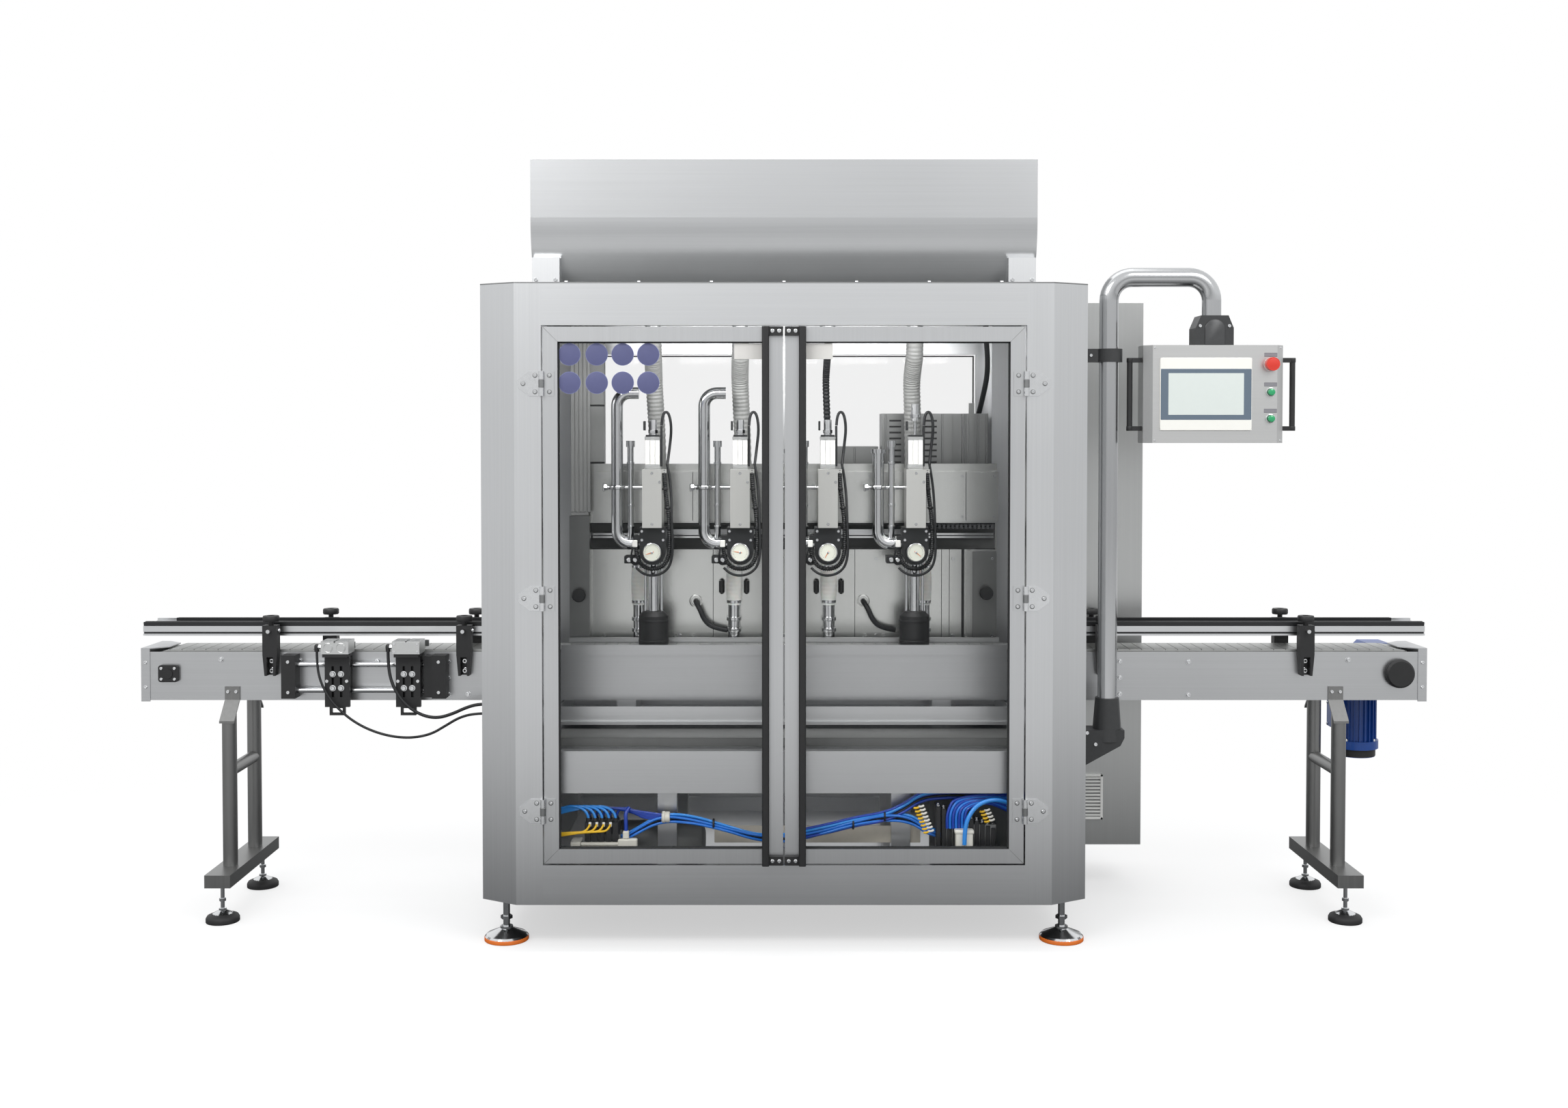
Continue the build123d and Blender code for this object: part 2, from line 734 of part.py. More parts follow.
def door_hinge_leaf(z):
    x = hinge_axis()[0]
    inner = x - HINGE_RADIUS - KNUCKLE_GAP
    half = HINGE_LENGTH / 2
    leaf = block(x - DOOR_LEAF_REACH, inner, -cabinet_y - HINGE_PLATE, -cabinet_y, z - half, z + half)
    return leaf + knuckle(*hinge_spans(z)[1], inner)


def door_frame():
    """The right-hand door's frame with its three hinge leaves."""
    return fused([window_frame(*door_edges()), *[door_hinge_leaf(z) for z in HINGE_HEIGHTS]])


def door_pane():
    return window_pane(*door_edges())


def door_grip():
    """The full-height moulded grip beside the meeting stile, with a cap at each end."""
    x0, _, z0, z1 = door_edges()
    inner = x0 + DOOR_STILE - GRIP_LAP
    bar = block(inner, inner + GRIP_WIDTH, -cabinet_y - GRIP_PROUD, -cabinet_y, z0, z1)
    bar = fillet(bar.edges().filter_by(Axis.Z).group_by(Axis.Y)[0], GRIP_ROUND)
    caps = [
        block(x0, inner + GRIP_LAP, -cabinet_y - GRIP_CAP_PROUD, -cabinet_y, z, z + GRIP_CAP_HEIGHT)
        for z in (z0, z1 - GRIP_CAP_HEIGHT)
    ]
    return fused([bar, *caps])


def rear_window_edges():
    """Edges of the fixed rear window on the right, which fills its half of the doorway."""
    return 0, doorway_x, sill_top, header_bottom


def rear_window_frames():
    frame = mirror_y(window_frame(*rear_window_edges()))
    return fused([frame, mirror_x(frame)])


def rear_window_panes():
    pane = mirror_y(window_pane(*rear_window_edges()))
    return group([pane, mirror_x(pane)])


# Hopper

def hopper_section(radius, top):
    """U section in Y and Z: a half circle below the axis, straight sides above it."""
    sides = Polyline((-radius, hopper_axis), (-radius, top), (radius, top), (radius, hopper_axis))
    return Plane.YZ * make_face([sides, RadiusArc((radius, hopper_axis), (-radius, hopper_axis), radius)])


def hopper():
    """Round-bottomed trough with lips along its top, end walls and an outlet over each head."""
    half = HOPPER_LENGTH / 2 - HOPPER_END
    outer = extrude(hopper_section(HOPPER_RADIUS, hopper_top), amount=half, both=True)
    inner = extrude(hopper_section(HOPPER_RADIUS - SHEET, hopper_top + 1), amount=half, both=True)
    lips = [
        block(-half, half, y0, y0 + HOPPER_LIP, hopper_top - SHEET, hopper_top)
        for y0 in (-HOPPER_RADIUS, HOPPER_RADIUS - HOPPER_LIP)
    ]
    end = Pos(half, 0, 0) * extrude(hopper_section(HOPPER_RADIUS, hopper_top), amount=HOPPER_END)
    outlet_z = hopper_floor - OUTLET_LENGTH
    outlets = [rod_z(outlet_z, hopper_floor + SHEET, x, 0, OUTLET_RADIUS) for x in head_xs]
    trough = fused([outer - inner, *lips, end, mirror_x(end), *outlets])
    for x in head_xs:
        trough -= rod_z(outlet_z - 1, hopper_floor + 2 * SHEET, x, 0, OUTLET_RADIUS - SHEET)
    return trough


def hopper_saddles():
    """Four saddle brackets on the roof that cradle the hopper's round bottom."""
    x1 = HOPPER_LENGTH / 2 - HOPPER_END
    x0 = x1 - SADDLE_WIDTH
    y1 = -hopper_half_width(roof_top, HOPPER_RADIUS) - HOPPER_HOLE_GAP
    saddle = block(x0, x1, -HOPPER_RADIUS, y1, roof_top, roof_top + SADDLE_HEIGHT)
    saddle -= rod_x(x0 - 1, x1 + 1, 0, hopper_axis, HOPPER_RADIUS + SEAT_GAP)
    return group(four_corners(saddle))


# Conveyor

def conveyor_side_plates():
    """Two folded channels, webs outside, with a guide strip along each inside the cabinet."""
    y = conveyor_y
    z0 = plate_bottom
    channel = side(
        [(-y, plate_top), (-y, z0), (-y + SIDE_FLANGE, z0), (-y + SIDE_FLANGE, z0 + SHEET),
         (-y + SHEET, z0 + SHEET), (-y + SHEET, plate_top)],
        -conveyor_x, conveyor_x,
    )
    half = doorway_x - LANE_STRIP_GAP
    strip = block(
        -half, half, -y - LANE_STRIP_DEPTH, -y, plate_top - LANE_STRIP_LAP, CHAIN_TOP + LANE_STRIP_RISE
    )
    plate = channel + strip
    return group([plate, mirror_y(plate)])


def loop_point(distance, radius):
    """A point and its outward normal on a stadium loop round the two shafts."""
    arc = math.pi * radius
    distance %= 4 * shaft_x + 2 * arc
    if distance < 2 * shaft_x:
        return (-shaft_x + distance, shaft_z + radius), (0.0, 1.0)
    distance -= 2 * shaft_x
    if distance < arc:
        angle = math.pi / 2 - distance / radius
        centre = shaft_x
    elif distance < arc + 2 * shaft_x:
        return (shaft_x - (distance - arc), shaft_z - radius), (0.0, -1.0)
    else:
        angle = -math.pi / 2 - (distance - arc - 2 * shaft_x) / radius
        centre = -shaft_x
    normal = (math.cos(angle), math.sin(angle))
    return (centre + radius * normal[0], shaft_z + radius * normal[1]), normal


def conveyor_chain():
    """The endless slat chain: flat slats with a narrow slot between each two."""
    inner = CHAIN_RADIUS - CHAIN_THICKNESS
    length = 4 * shaft_x + 2 * math.pi * CHAIN_RADIUS
    slats = round(length / CHAIN_PITCH)
    pitch = length / slats
    corners = ((0, CHAIN_SLOT_DEPTH), (0, 0), (pitch - CHAIN_SLOT, 0), (pitch - CHAIN_SLOT, CHAIN_SLOT_DEPTH))
    points = []
    for i in range(slats):
        for along, depth in corners:
            (x, z), (nx, nz) = loop_point(i * pitch + along, CHAIN_RADIUS)
            points.append((x - depth * nx, z - depth * nz))
    loop = front(points, -CHAIN_WIDTH / 2, CHAIN_WIDTH / 2)
    hollow = block(-shaft_x, shaft_x, -CHAIN_WIDTH, CHAIN_WIDTH, shaft_z - inner, shaft_z + inner)
    for x in (-shaft_x, shaft_x):
        hollow += rod_y(-CHAIN_WIDTH, CHAIN_WIDTH, x, shaft_z, inner)
    return loop - hollow


def conveyor_shafts():
    """Two shafts, each with a plain drum where its sprocket runs, and the ties between the plates."""
    inside = conveyor_y - SHEET
    drum = CHAIN_RADIUS - CHAIN_THICKNESS - SPROCKET_GAP
    shafts = [
        rod_y(-inside, inside, x, shaft_z, SHAFT_RADIUS)
        + rod_y(-SPROCKET_WIDTH / 2, SPROCKET_WIDTH / 2, x, shaft_z, drum)
        for x in (-shaft_x, shaft_x)
    ]
    return group(shafts + [rod_y(-inside, inside, x, shaft_z, TIE_RADIUS) for x in tie_xs])


def shaft_covers():
    """Round cap over the drive shaft's near end, a bearing block at each end of the idler."""
    y = -conveyor_y
    cap = rod_y(y - SHAFT_CAP_DEPTH, y, shaft_x, shaft_z, SHAFT_CAP_RADIUS)
    cap = chamfer(cap.edges().group_by(Axis.Y)[0], SHAFT_CAP_EDGE)
    bearing = block(
        -shaft_x - BEARING_WIDTH / 2, -shaft_x + BEARING_WIDTH / 2, y - BEARING_DEPTH, y,
        shaft_z - BEARING_HEIGHT / 2, shaft_z + BEARING_HEIGHT / 2,
    )
    bearing = fillet(bearing.edges().filter_by(Axis.Y), BEARING_ROUND)
    hub = rod_y(y - BEARING_DEPTH - SHEET, y - BEARING_DEPTH, -shaft_x, shaft_z, SHAFT_RADIUS)
    bearing += hub
    return group([cap, bearing, mirror_y(bearing)])


def conveyor_end_covers():
    """Folded covers round both ends: end wall, two lapped flanges and a top lip."""
    x0, x1 = conveyor_x, conveyor_x + SHEET
    y = conveyor_y + SHEET
    z0, z1 = plate_bottom - END_SKIRT, CHAIN_TOP + END_LIFT
    wall = block(x0, x1, -y, y, z0, z1 + SHEET)
    flange = block(x0 - END_FLANGE, x1, -y, -conveyor_y, z0, z1 + SHEET)
    lip = plan(
        [(x1, -y), (x1, y), (x0 - END_FLANGE, y), (x0 - END_TOP_REACH, y - END_CORNER),
         (x0 - END_TOP_REACH, END_CORNER - y), (x0 - END_FLANGE, -y)],
        z1, z1 + SHEET,
    )
    cover = fused([wall, flange, mirror_y(flange), lip])
    return group([cover, mirror_x(cover)])


# Conveyor stands and feet

def stand(x):
    """Foot bar, two tubes cut on the slant, a cross tube, and a bent strap up to each side plate."""
    bar_top = STAND_BAR_BOTTOM + STAND_BAR_HEIGHT
    y = STAND_TUBE_SPACING / 2
    bar = block(
        x - STAND_BAR_WIDTH / 2, x + STAND_BAR_WIDTH / 2,
        -STAND_BAR_LENGTH / 2, STAND_BAR_LENGTH / 2, STAND_BAR_BOTTOM, bar_top,
    )
    cross = rod_y(-y, y, x, bar_top + STAND_CROSS_RISE, STAND_CROSS_RADIUS)
    outer_y = -y - STAND_TUBE_RADIUS - STRAP_OVERHANG
    outer_z = plate_bottom - STRAP_DROP
    slope = STRAP_DROP / (-conveyor_y - outer_y)
    rise = STRAP_THICKNESS * math.sqrt(1 + slope**2)
    bend_z = plate_bottom - STRAP_THICKNESS * slope + rise
    strap_top = plate_bottom + STRAP_HEIGHT
    w = STRAP_WIDTH / 2
    strap = side(
        [(outer_y, outer_z), (-conveyor_y, plate_bottom), (-conveyor_y, strap_top),
         (-conveyor_y - STRAP_THICKNESS, strap_top), (-conveyor_y - STRAP_THICKNESS, bend_z),
         (outer_y, outer_z + rise)],
        x - w, x + w,
    )
    above = side(
        [(outer_y - w, outer_z - w * slope), (0, plate_bottom + conveyor_y * slope),
         (0, plate_top), (outer_y - w, plate_top)],
        x - 2 * w, x + 2 * w,
    )
    tube = rod_z(bar_top - 1, plate_bottom, x, -y, STAND_TUBE_RADIUS) - above
    return fused([bar, cross, tube, mirror_y(tube), strap, mirror_y(strap)])


def leg_stands():
    return group([stand(x) for x in stand_xs])


def foot(x, y, pad_radius, stud_radius, top):
    """A levelling foot: rubber rim, steel cone, lock nut and stud up to its seat."""
    collar = 1.9 * stud_radius
    profile = Plane.XZ * outline(
        [(0, 0), (pad_radius, 0), (pad_radius, PAD_RIM), (0.92 * pad_radius, 1.5 * PAD_RIM),
         (collar, PAD_HEIGHT - PAD_RIM / 2), (collar, PAD_HEIGHT), (stud_radius, PAD_HEIGHT),
         (stud_radius, top), (0, top)]
    )
    nut = extrude(RegularPolygon(1.8 * stud_radius, 6), amount=FOOT_NUT_HEIGHT)
    return Pos(x, y, 0) * (revolve(profile, axis=Axis.Z) + Pos(0, 0, PAD_HEIGHT + FOOT_NUT_RISE) * nut)


def levelling_feet():
    """Four feet under the cabinet and two under each stand's bar."""
    feet = []
    for sx in (-1, 1):
        for sy in (-1, 1):
            x = sx * (cabinet_x - MACHINE_FOOT_INSET_X)
            y = sy * (cabinet_y - MACHINE_FOOT_INSET_Y)
            feet.append(foot(x, y, MACHINE_PAD_RADIUS, MACHINE_STUD_RADIUS, cabinet_bottom))
    for x in stand_xs:
        for sy in (-1, 1):
            y = sy * (STAND_BAR_LENGTH / 2 - STAND_FOOT_INSET)
            feet.append(foot(x, y, STAND_PAD_RADIUS, STAND_STUD_RADIUS, STAND_BAR_BOTTOM))
    return group(feet)


def gear_motor():
    """Worm gearbox on the rear side plate, with a finned motor hanging below it."""
    y0, y1 = conveyor_y, conveyor_y + GEARBOX_DEPTH
    half_x, half_z = GEARBOX_WIDTH / 2, GEARBOX_HEIGHT / 2
    box = block(shaft_x - half_x, shaft_x + half_x, y0, y1, shaft_z - half_z, shaft_z + half_z)
    box = chamfer(box.edges().filter_by(Axis.Y), GEARBOX_CORNER)
    x, y = shaft_x - MOTOR_OFFSET, y0 + MOTOR_SETBACK
    top = shaft_z - MOTOR_DROP
    low = top - MOTOR_LENGTH
    neck = rod_z(top - 1, shaft_z, x, y, MOTOR_NECK_RADIUS)
    shield_top = low + COWL_HEIGHT + SHIELD_HEIGHT
    body = rod_z(shield_top - 1, top, x, y, MOTOR_RADIUS)
    for i in range(MOTOR_FINS):
        fin = block(
            MOTOR_RADIUS - 2, MOTOR_RADIUS + FIN_HEIGHT, -FIN_WIDTH / 2, FIN_WIDTH / 2, shield_top - 1, top
        )
        body += Pos(x, y, 0) * Rot(0, 0, 360 / MOTOR_FINS * (i + 0.5)) * fin
    shield = rod_z(low + COWL_HEIGHT - 1, shield_top, x, y, SHIELD_RADIUS)
    cowl = rod_z(low, low + COWL_HEIGHT, x, y, COWL_RADIUS)
    reach = MOTOR_RADIUS + TERMINAL_REACH
    middle = (top + shield_top) / 2
    terminal = block(
        x - reach, x - MOTOR_RADIUS / 2, y - TERMINAL_WIDTH / 2, y + TERMINAL_WIDTH / 2,
        middle - TERMINAL_HEIGHT / 2, middle + TERMINAL_HEIGHT / 2,
    )
    return fused([box, neck, body, shield, cowl, terminal])


# Guide rails

def guide_rail(bracket_xs, left):
    """A near-side rail: grooved extrusion, wear strip, and the rods that its brackets clamp."""
    ends = [cabinet_x + RAIL_CABINET_GAP, conveyor_x + RAIL_OVERRUN]
    if left:
        ends = [-ends[1], -ends[0]]
    y1 = -RAIL_FACE
    y0 = y1 - RAIL_DEPTH
    ym = y1 - RAIL_STRIP_DEPTH
    z0, z1 = rail_z, rail_z + RAIL_HEIGHT
    e, g = RAIL_STRIP_EDGE, RAIL_GROOVE
    section = [
        (y0, z0), (ym, z0), (ym, z0 + e), (y1, z0 + e), (y1, z1 - e), (ym, z1 - e), (ym, z1), (y0, z1),
        (y0, z1 - 2 * g), (y0 + g, z1 - 2 * g), (y0 + g, z1 - 4 * g), (y0, z1 - 4 * g),
        (y0, z0 + 4 * g), (y0 + g, z0 + 4 * g), (y0 + g, z0 + 2 * g), (y0, z0 + 2 * g),
    ]
    out = -conveyor_y - BRACKET_DEPTH - RAIL_ROD_REACH
    xs = [x for x in bracket_xs if (x < 0) == left]
    rods = [rod_y(out, y0 + 1, x, rail_rod_z, RAIL_ROD_RADIUS) for x in xs]
    return fused([side(section, *ends), *rods])


def rail_bracket(x):
    """A moulded bracket bolted to the near side plate, with its clamp knob on top."""
    w, f = BRACKET_WIDTH / 2, BRACKET_FOOT_WIDTH / 2
    y0, y1 = -conveyor_y - BRACKET_DEPTH, -conveyor_y
    low = CHAIN_TOP - BRACKET_HEAD_DROP
    top = low + BRACKET_HEAD_HEIGHT
    foot_z = low - BRACKET_TAPER
    body = front(
        [(x - f, foot_z), (x + f, foot_z), (x + w, low), (x + w, top), (x - w, top), (x - w, low)], y0, y1
    )
    body -= block(
        x - f + BRACKET_WALL, x + f - BRACKET_WALL, y0 - 1, y1 - BRACKET_BACK, foot_z - 1, low - BRACKET_WALL
    )
    middle = (y0 + y1) / 2
    neck = rod_z(top, top + KNOB_NECK, x, middle, KNOB_NECK_RADIUS)
    knob = rod_z(top + KNOB_NECK, top + KNOB_NECK + KNOB_HEIGHT, x, middle, KNOB_RADIUS)
    bolts = [
        rod_y(y1 - BRACKET_BACK - BOLT_HEAD, y1 - BRACKET_BACK, x, z, BOLT_RADIUS)
        for z in (foot_z + 2 * BOLT_RADIUS, low - 3 * BOLT_RADIUS)
    ]
    bore = rod_y(y0 - 1, y1 + 1, x, rail_rod_z, RAIL_ROD_RADIUS + RAIL_ROD_GAP)
    return fused([body, neck, knob, *bolts]) - bore


def rail_brackets():
    near = [rail_bracket(x) for x in near_bracket_xs]
    return group(near + [mirror_y(rail_bracket(x)) for x in far_bracket_xs])


# Container stoppers

def stopper_slide():
    """End blocks and two rods on the near side plate, a bumper, and a carrier for each cylinder."""
    y0, y1 = -conveyor_y - STOPPER_END_DEPTH, -conveyor_y
    z0, z1 = stopper_end_z, stopper_end_z + STOPPER_END_HEIGHT
    w = STOPPER_END_WIDTH / 2
    ends = [block(x - w, x + w, y0, y1, z0, z1) for x in stopper_end_xs]
    last = stopper_end_xs[1]
    bumper = block(last - w - STOPPER_BUMPER_WIDTH, last - w, y0 + 6, y1, z0 + 3, z1 - 3)
    rods = [
        rod_x(stopper_end_xs[0], last, stopper_rod_y, z0 + inset, STOPPER_ROD_RADIUS)
        for inset in STOPPER_ROD_INSETS
    ]
    return fused([*ends, bumper, *rods, *[stopper_carrier(x) for x in stopper_xs]])


def stopper_carrier(x):
    """A slotted carrier that grips the two rods and holds the cylinder on its shelf."""
    w = CARRIER_WIDTH / 2
    y1 = -conveyor_y - STOPPER_END_DEPTH + 6
    y0 = y1 - CARRIER_DEPTH
    z0, z1 = carrier_top - CARRIER_HEIGHT, carrier_top
    plate = block(x - w, x + w, y0, y1, z0, z1)
    loop_w = CARRIER_LOOP_WIDTH / 2
    loop = block(x - loop_w, x + loop_w, y0, y1, z0 - CARRIER_LOOP_DROP, z0)
    loop -= block(
        x - loop_w + CARRIER_LOOP_BAR, x + loop_w - CARRIER_LOOP_BAR, y0 - 1, y1 + 1,
        z0 - CARRIER_LOOP_DROP + CARRIER_LOOP_BAR, z0 - CARRIER_LOOP_BAR / 2,
    )
    plate += loop
    slot_z = (z0 + z1) / 2
    for s in (-1, 1):
        cx = x + s * CARRIER_SLOT_SPACING / 2
        plate -= block(
            cx - CARRIER_SLOT_WIDTH / 2, cx + CARRIER_SLOT_WIDTH / 2, y0 - 1, y1 + 1,
            slot_z - CARRIER_SLOT_HEIGHT / 2, slot_z + CARRIER_SLOT_HEIGHT / 2,
        )
    inner = w - CARRIER_BACK_INSET
    back = block(x - inner, x + inner, y1, y1 + CARRIER_BACK_REACH, stopper_end_z, z1)
    shelf = block(x - w, x + w, cylinder_y0, y1 + CARRIER_BACK_REACH, z1, z1 + SHELF_THICKNESS)
    return fused([plate, back, shelf])


def stopper_cylinder(i):
    """A twin-rod cylinder, bored for its rods, with a cable fitting at its left."""
    x = stopper_xs[i]
    w = CYLINDER_WIDTH / 2
    y0, y1 = cylinder_y0, cylinder_y1
    z0, z1 = cylinder_z, cylinder_z + CYLINDER_HEIGHT
    body = block(x - w, x + w, y0, y1, z0, z1)
    g = CYLINDER_GROOVE
    body -= block(x - g / 2, x + g / 2, y0 - 1, y1 + 1, z1 - g, z1 + 1)
    middle = (z0 + z1) / 2
    for s in (-1, 1):
        body -= rod_y(
            y0 + CYLINDER_END_WALL, y1 + 1, x + s * CYLINDER_BORE_SPACING / 2, middle,
            STOPPER_PIN_RADIUS + STOPPER_PIN_GAP,
        )
    if STOPPER_REST[i]:
        tail = block(x - w, x + w, y0 - CYLINDER_TAIL, y0, z0 + 2, z1 - 2)
        body += tail
    fx, fy = x - w - FITTING_REACH, y0 + FITTING_Y_INSET
    elbow = rod_x(fx, x - w, fy, middle, FITTING_RADIUS) + Pos(fx, fy, middle) * Sphere(FITTING_RADIUS)
    drop = rod_z(middle - FITTING_DROP, middle, fx, fy, FITTING_RADIUS)
    return fused([body, elbow, drop])


def stopper_cylinders():
    return group([stopper_cylinder(0), stopper_cylinder(1)])


def stopper(i):
    """The moving part: two rods and the nose bar that stands in the container's way."""
    x = stopper_xs[i]
    nose_y = cylinder_y1 + STOPPER_NOSE_GAP + STOPPER_REST[i]
    z0 = cylinder_z + CYLINDER_HEIGHT / 2 - STOPPER_PIN_RADIUS - STOPPER_NOSE_HEIGHT / 2 + 3
    rods = [
        rod_y(
            nose_y - STOPPER_PIN_LENGTH, nose_y + 1, x + s * CYLINDER_BORE_SPACING / 2,
            cylinder_z + CYLINDER_HEIGHT / 2, STOPPER_PIN_RADIUS,
        )
        for s in (-1, 1)
    ]
    nose = block(
        x - CYLINDER_WIDTH / 2, x + CYLINDER_WIDTH / 2, nose_y, nose_y + STOPPER_NOSE_DEPTH,
        z0, z0 + STOPPER_NOSE_HEIGHT,
    )
    return fused([nose, *rods])


# Cables from the stoppers to the cabinet

def bend_radii(points):
    """Each bend as large as its two runs allow: 0.45 of the shorter, over tan(turn / 2)."""
    radii = []
    for a, b, c in zip(points, points[1:], points[2:]):
        before, after = Vector(*b) - Vector(*a), Vector(*c) - Vector(*b)
        turn = math.radians(before.get_angle(after))
        radii.append(0.45 * min(before.length, after.length) / math.tan(turn / 2))
    return radii


def cable(points, radius):
    path = FilletPolyline(*points, radius=bend_radii(points))
    start = Vector(*points[1]) - Vector(*points[0])
    return sweep(Plane(origin=points[0], z_dir=start) * Circle(radius), path=path)


def cable_start(i):
    """The lower end of the fitting on cylinder i."""
    x = stopper_xs[i] - CYLINDER_WIDTH / 2 - FITTING_REACH
    return x, cylinder_y0 + FITTING_Y_INSET, cylinder_z + CYLINDER_HEIGHT / 2 - FITTING_DROP


def cable_route(i, shape):
    """Points from the fitting to the gland: share of the span in X, and shift in Y and Z."""
    x, y, z = cable_start(i)
    span = -cabinet_x - GLAND_LENGTH - x
    return [(x + share * span, y + dy, z + dz) for share, dy, dz in shape]


FRONT_CABLE = cable_route(0, [
    (0, 0, 0), (0, 0, -44), (0.02, -4, -96), (0.071, -8, -148), (0.145, -11, -192), (0.235, -13, -228),
    (0.336, -15, -253), (0.442, -16, -268), (0.551, -17, -271), (0.657, -18, -259), (0.739, -19, -232),
    (0.822, -20, -205), (0.91, -21, -193), (1, -21, -193),
])
REAR_CABLE = cable_route(1, [
    (0, 0, 0), (0, 0, -44), (0.031, -6, -94), (0.104, -11, -140), (0.215, -15, -178), (0.35, -18, -202),
    (0.491, -21, -208), (0.632, -25, -194), (0.761, -28, -174), (0.883, -30, -162), (1, -30, -162),
])


# Inside the cabinet

def machine_bed():
    """Bed box on four legs, a beam before and behind it, and stools for the tray."""
    y = BED_DEPTH / 2
    low = BED_TOP - BED_HEIGHT
    box = block(-inside_x, inside_x, -y, y, low, BED_TOP)
    beam_y = -cabinet_y + BED_BEAM_SETBACK
    beam = block(-doorway_x, doorway_x, beam_y, beam_y + BED_BEAM_DEPTH, low, low + BED_BEAM_HEIGHT)
    ties = [
        block(x - BED_TIE / 2, x + BED_TIE / 2, beam_y, -y, low + BED_TIE / 2, low + 1.5 * BED_TIE)
        for x in (-BED_TIE_X, 0, BED_TIE_X)
    ]
    beam = fused([beam, *ties])
    leg_y = y - BED_LEG_INSET
    legs = [
        block(sx * BED_LEG_X - BED_LEG / 2, sx * BED_LEG_X + BED_LEG / 2,
              sy * leg_y - BED_LEG / 2, sy * leg_y + BED_LEG / 2, floor_top, low)
        for sx in (-1, 1) for sy in (-1, 1)
    ]
    stools = [
        block(x - STOOL_WIDTH / 2, x + STOOL_WIDTH / 2, -conveyor_y, conveyor_y, BED_TOP, tray_z)
        for x in (-STOOL_SPACING, 0, STOOL_SPACING)
    ]
    return fused([box, beam, mirror_y(beam), *legs, *stools])


def drip_tray():
    """Tray with a front and a rear lip, and pads that the conveyor's plates stand on."""
    x, y = inside_x, TRAY_DEPTH / 2
    tray = block(-x, x, -y, y, tray_z, tray_z + TRAY_HEIGHT)
    tray -= block(-x + SHEET, x - SHEET, -y + SHEET, y - SHEET, tray_z + SHEET, tray_z + TRAY_HEIGHT + 1)
    lip = block(-x, x, -y - TRAY_LIP, -y, tray_z, tray_z + TRAY_LIP_HEIGHT)
    w = STOOL_WIDTH / 2
    pads = [
        block(c - w, c + w, -conveyor_y, conveyor_y, tray_z + SHEET, plate_bottom)
        for c in (-STOOL_SPACING, 0, STOOL_SPACING)
    ]
    return fused([tray, lip, mirror_y(lip), *pads])


def product_riser(x):
    """A pipe up from the deck with two clamped ferrules, and the elbow above its sleeve."""
    pipe = rod_z(deck_z, riser_top, x, RISER_Y, RISER_RADIUS)
    ferrules = [
        rod_z(deck_z + rise, deck_z + rise + RISER_FERRULE_HEIGHT, x, RISER_Y, RISER_FERRULE_RADIUS)
        for rise in RISER_FERRULE_RISES
    ]
    return fused([pipe, *ferrules])


def riser_elbow(x):
    """The spigot over a sleeve, which turns back through the panel behind the heads."""
    up = rod_z(sleeve_top, elbow_z, x, RISER_Y, RISER_RADIUS)
    back = rod_y(RISER_Y, BACK_PANEL_Y, x, elbow_z, RISER_RADIUS)
    return fused([up, back, Pos(x, RISER_Y, elbow_z) * Sphere(RISER_RADIUS)])


def rear_deck():
    """Deck sheet behind the conveyor, on posts that stand on the bed, with the product risers."""
    y1 = cabinet_y - BEAM_DEPTH - DECK_REAR_GAP
    sheet = block(-inside_x, inside_x, DECK_FRONT, y1, deck_z - SHEET, deck_z)
    w = DECK_POST / 2
    posts = [
        block(px - w, px + w, py - w, py + w, BED_TOP, deck_z - SHEET)
        for px in (-DECK_POST_X, DECK_POST_X) for py in DECK_POST_YS
    ]
    return fused([sheet, *posts, *[product_riser(x) for x in riser_xs]])


def riser_sleeves():
    """Flexible sleeves that join the risers to the elbows above them."""
    return group([rod_z(riser_top, sleeve_top, x, RISER_Y, SLEEVE_RADIUS) for x in riser_xs])


def back_panel():
    """Stainless wall behind the heads, with the carriage's slot, a beam cover and the elbows."""
    y = BACK_PANEL_Y
    panel = block(-inside_x, inside_x, y, y + SHEET, deck_z, cover_top + BACK_PANEL_RISE)
    z0, z1 = TRACK_CENTRE - SLOT_HEIGHT / 2, TRACK_CENTRE + SLOT_HEIGHT / 2
    panel -= block(-SLOT_HALF, SLOT_HALF, y - 1, y + SHEET + 1, z0, z1)
    cover = block(
        -BEAM_COVER_LEFT, inside_x, y - BEAM_COVER_DEPTH, y, cover_z + BEAM_COVER_INSET,
        cover_top - BEAM_COVER_INSET,
    )
    return fused([panel, cover, *[riser_elbow(x) for x in riser_xs]])


def tracking_rails():
    """Linear rail on its backing plate behind the slot."""
    half = TRACK_HEIGHT / 2
    y1 = TRACK_Y + TRACK_DEPTH
    rail = block(-SLOT_HALF, SLOT_HALF, TRACK_Y, y1, TRACK_CENTRE - half, TRACK_CENTRE + half)
    plate = block(-inside_x, inside_x, y1, y1 + TRACK_PLATE, deck_z, TRACK_CENTRE + TRACK_PLATE_RISE)
    return rail + plate


def standing_box(x0, y0, z0, size):
    return block(x0, x0 + size[0], y0, y0 + size[1], z0, z0 + size[2])


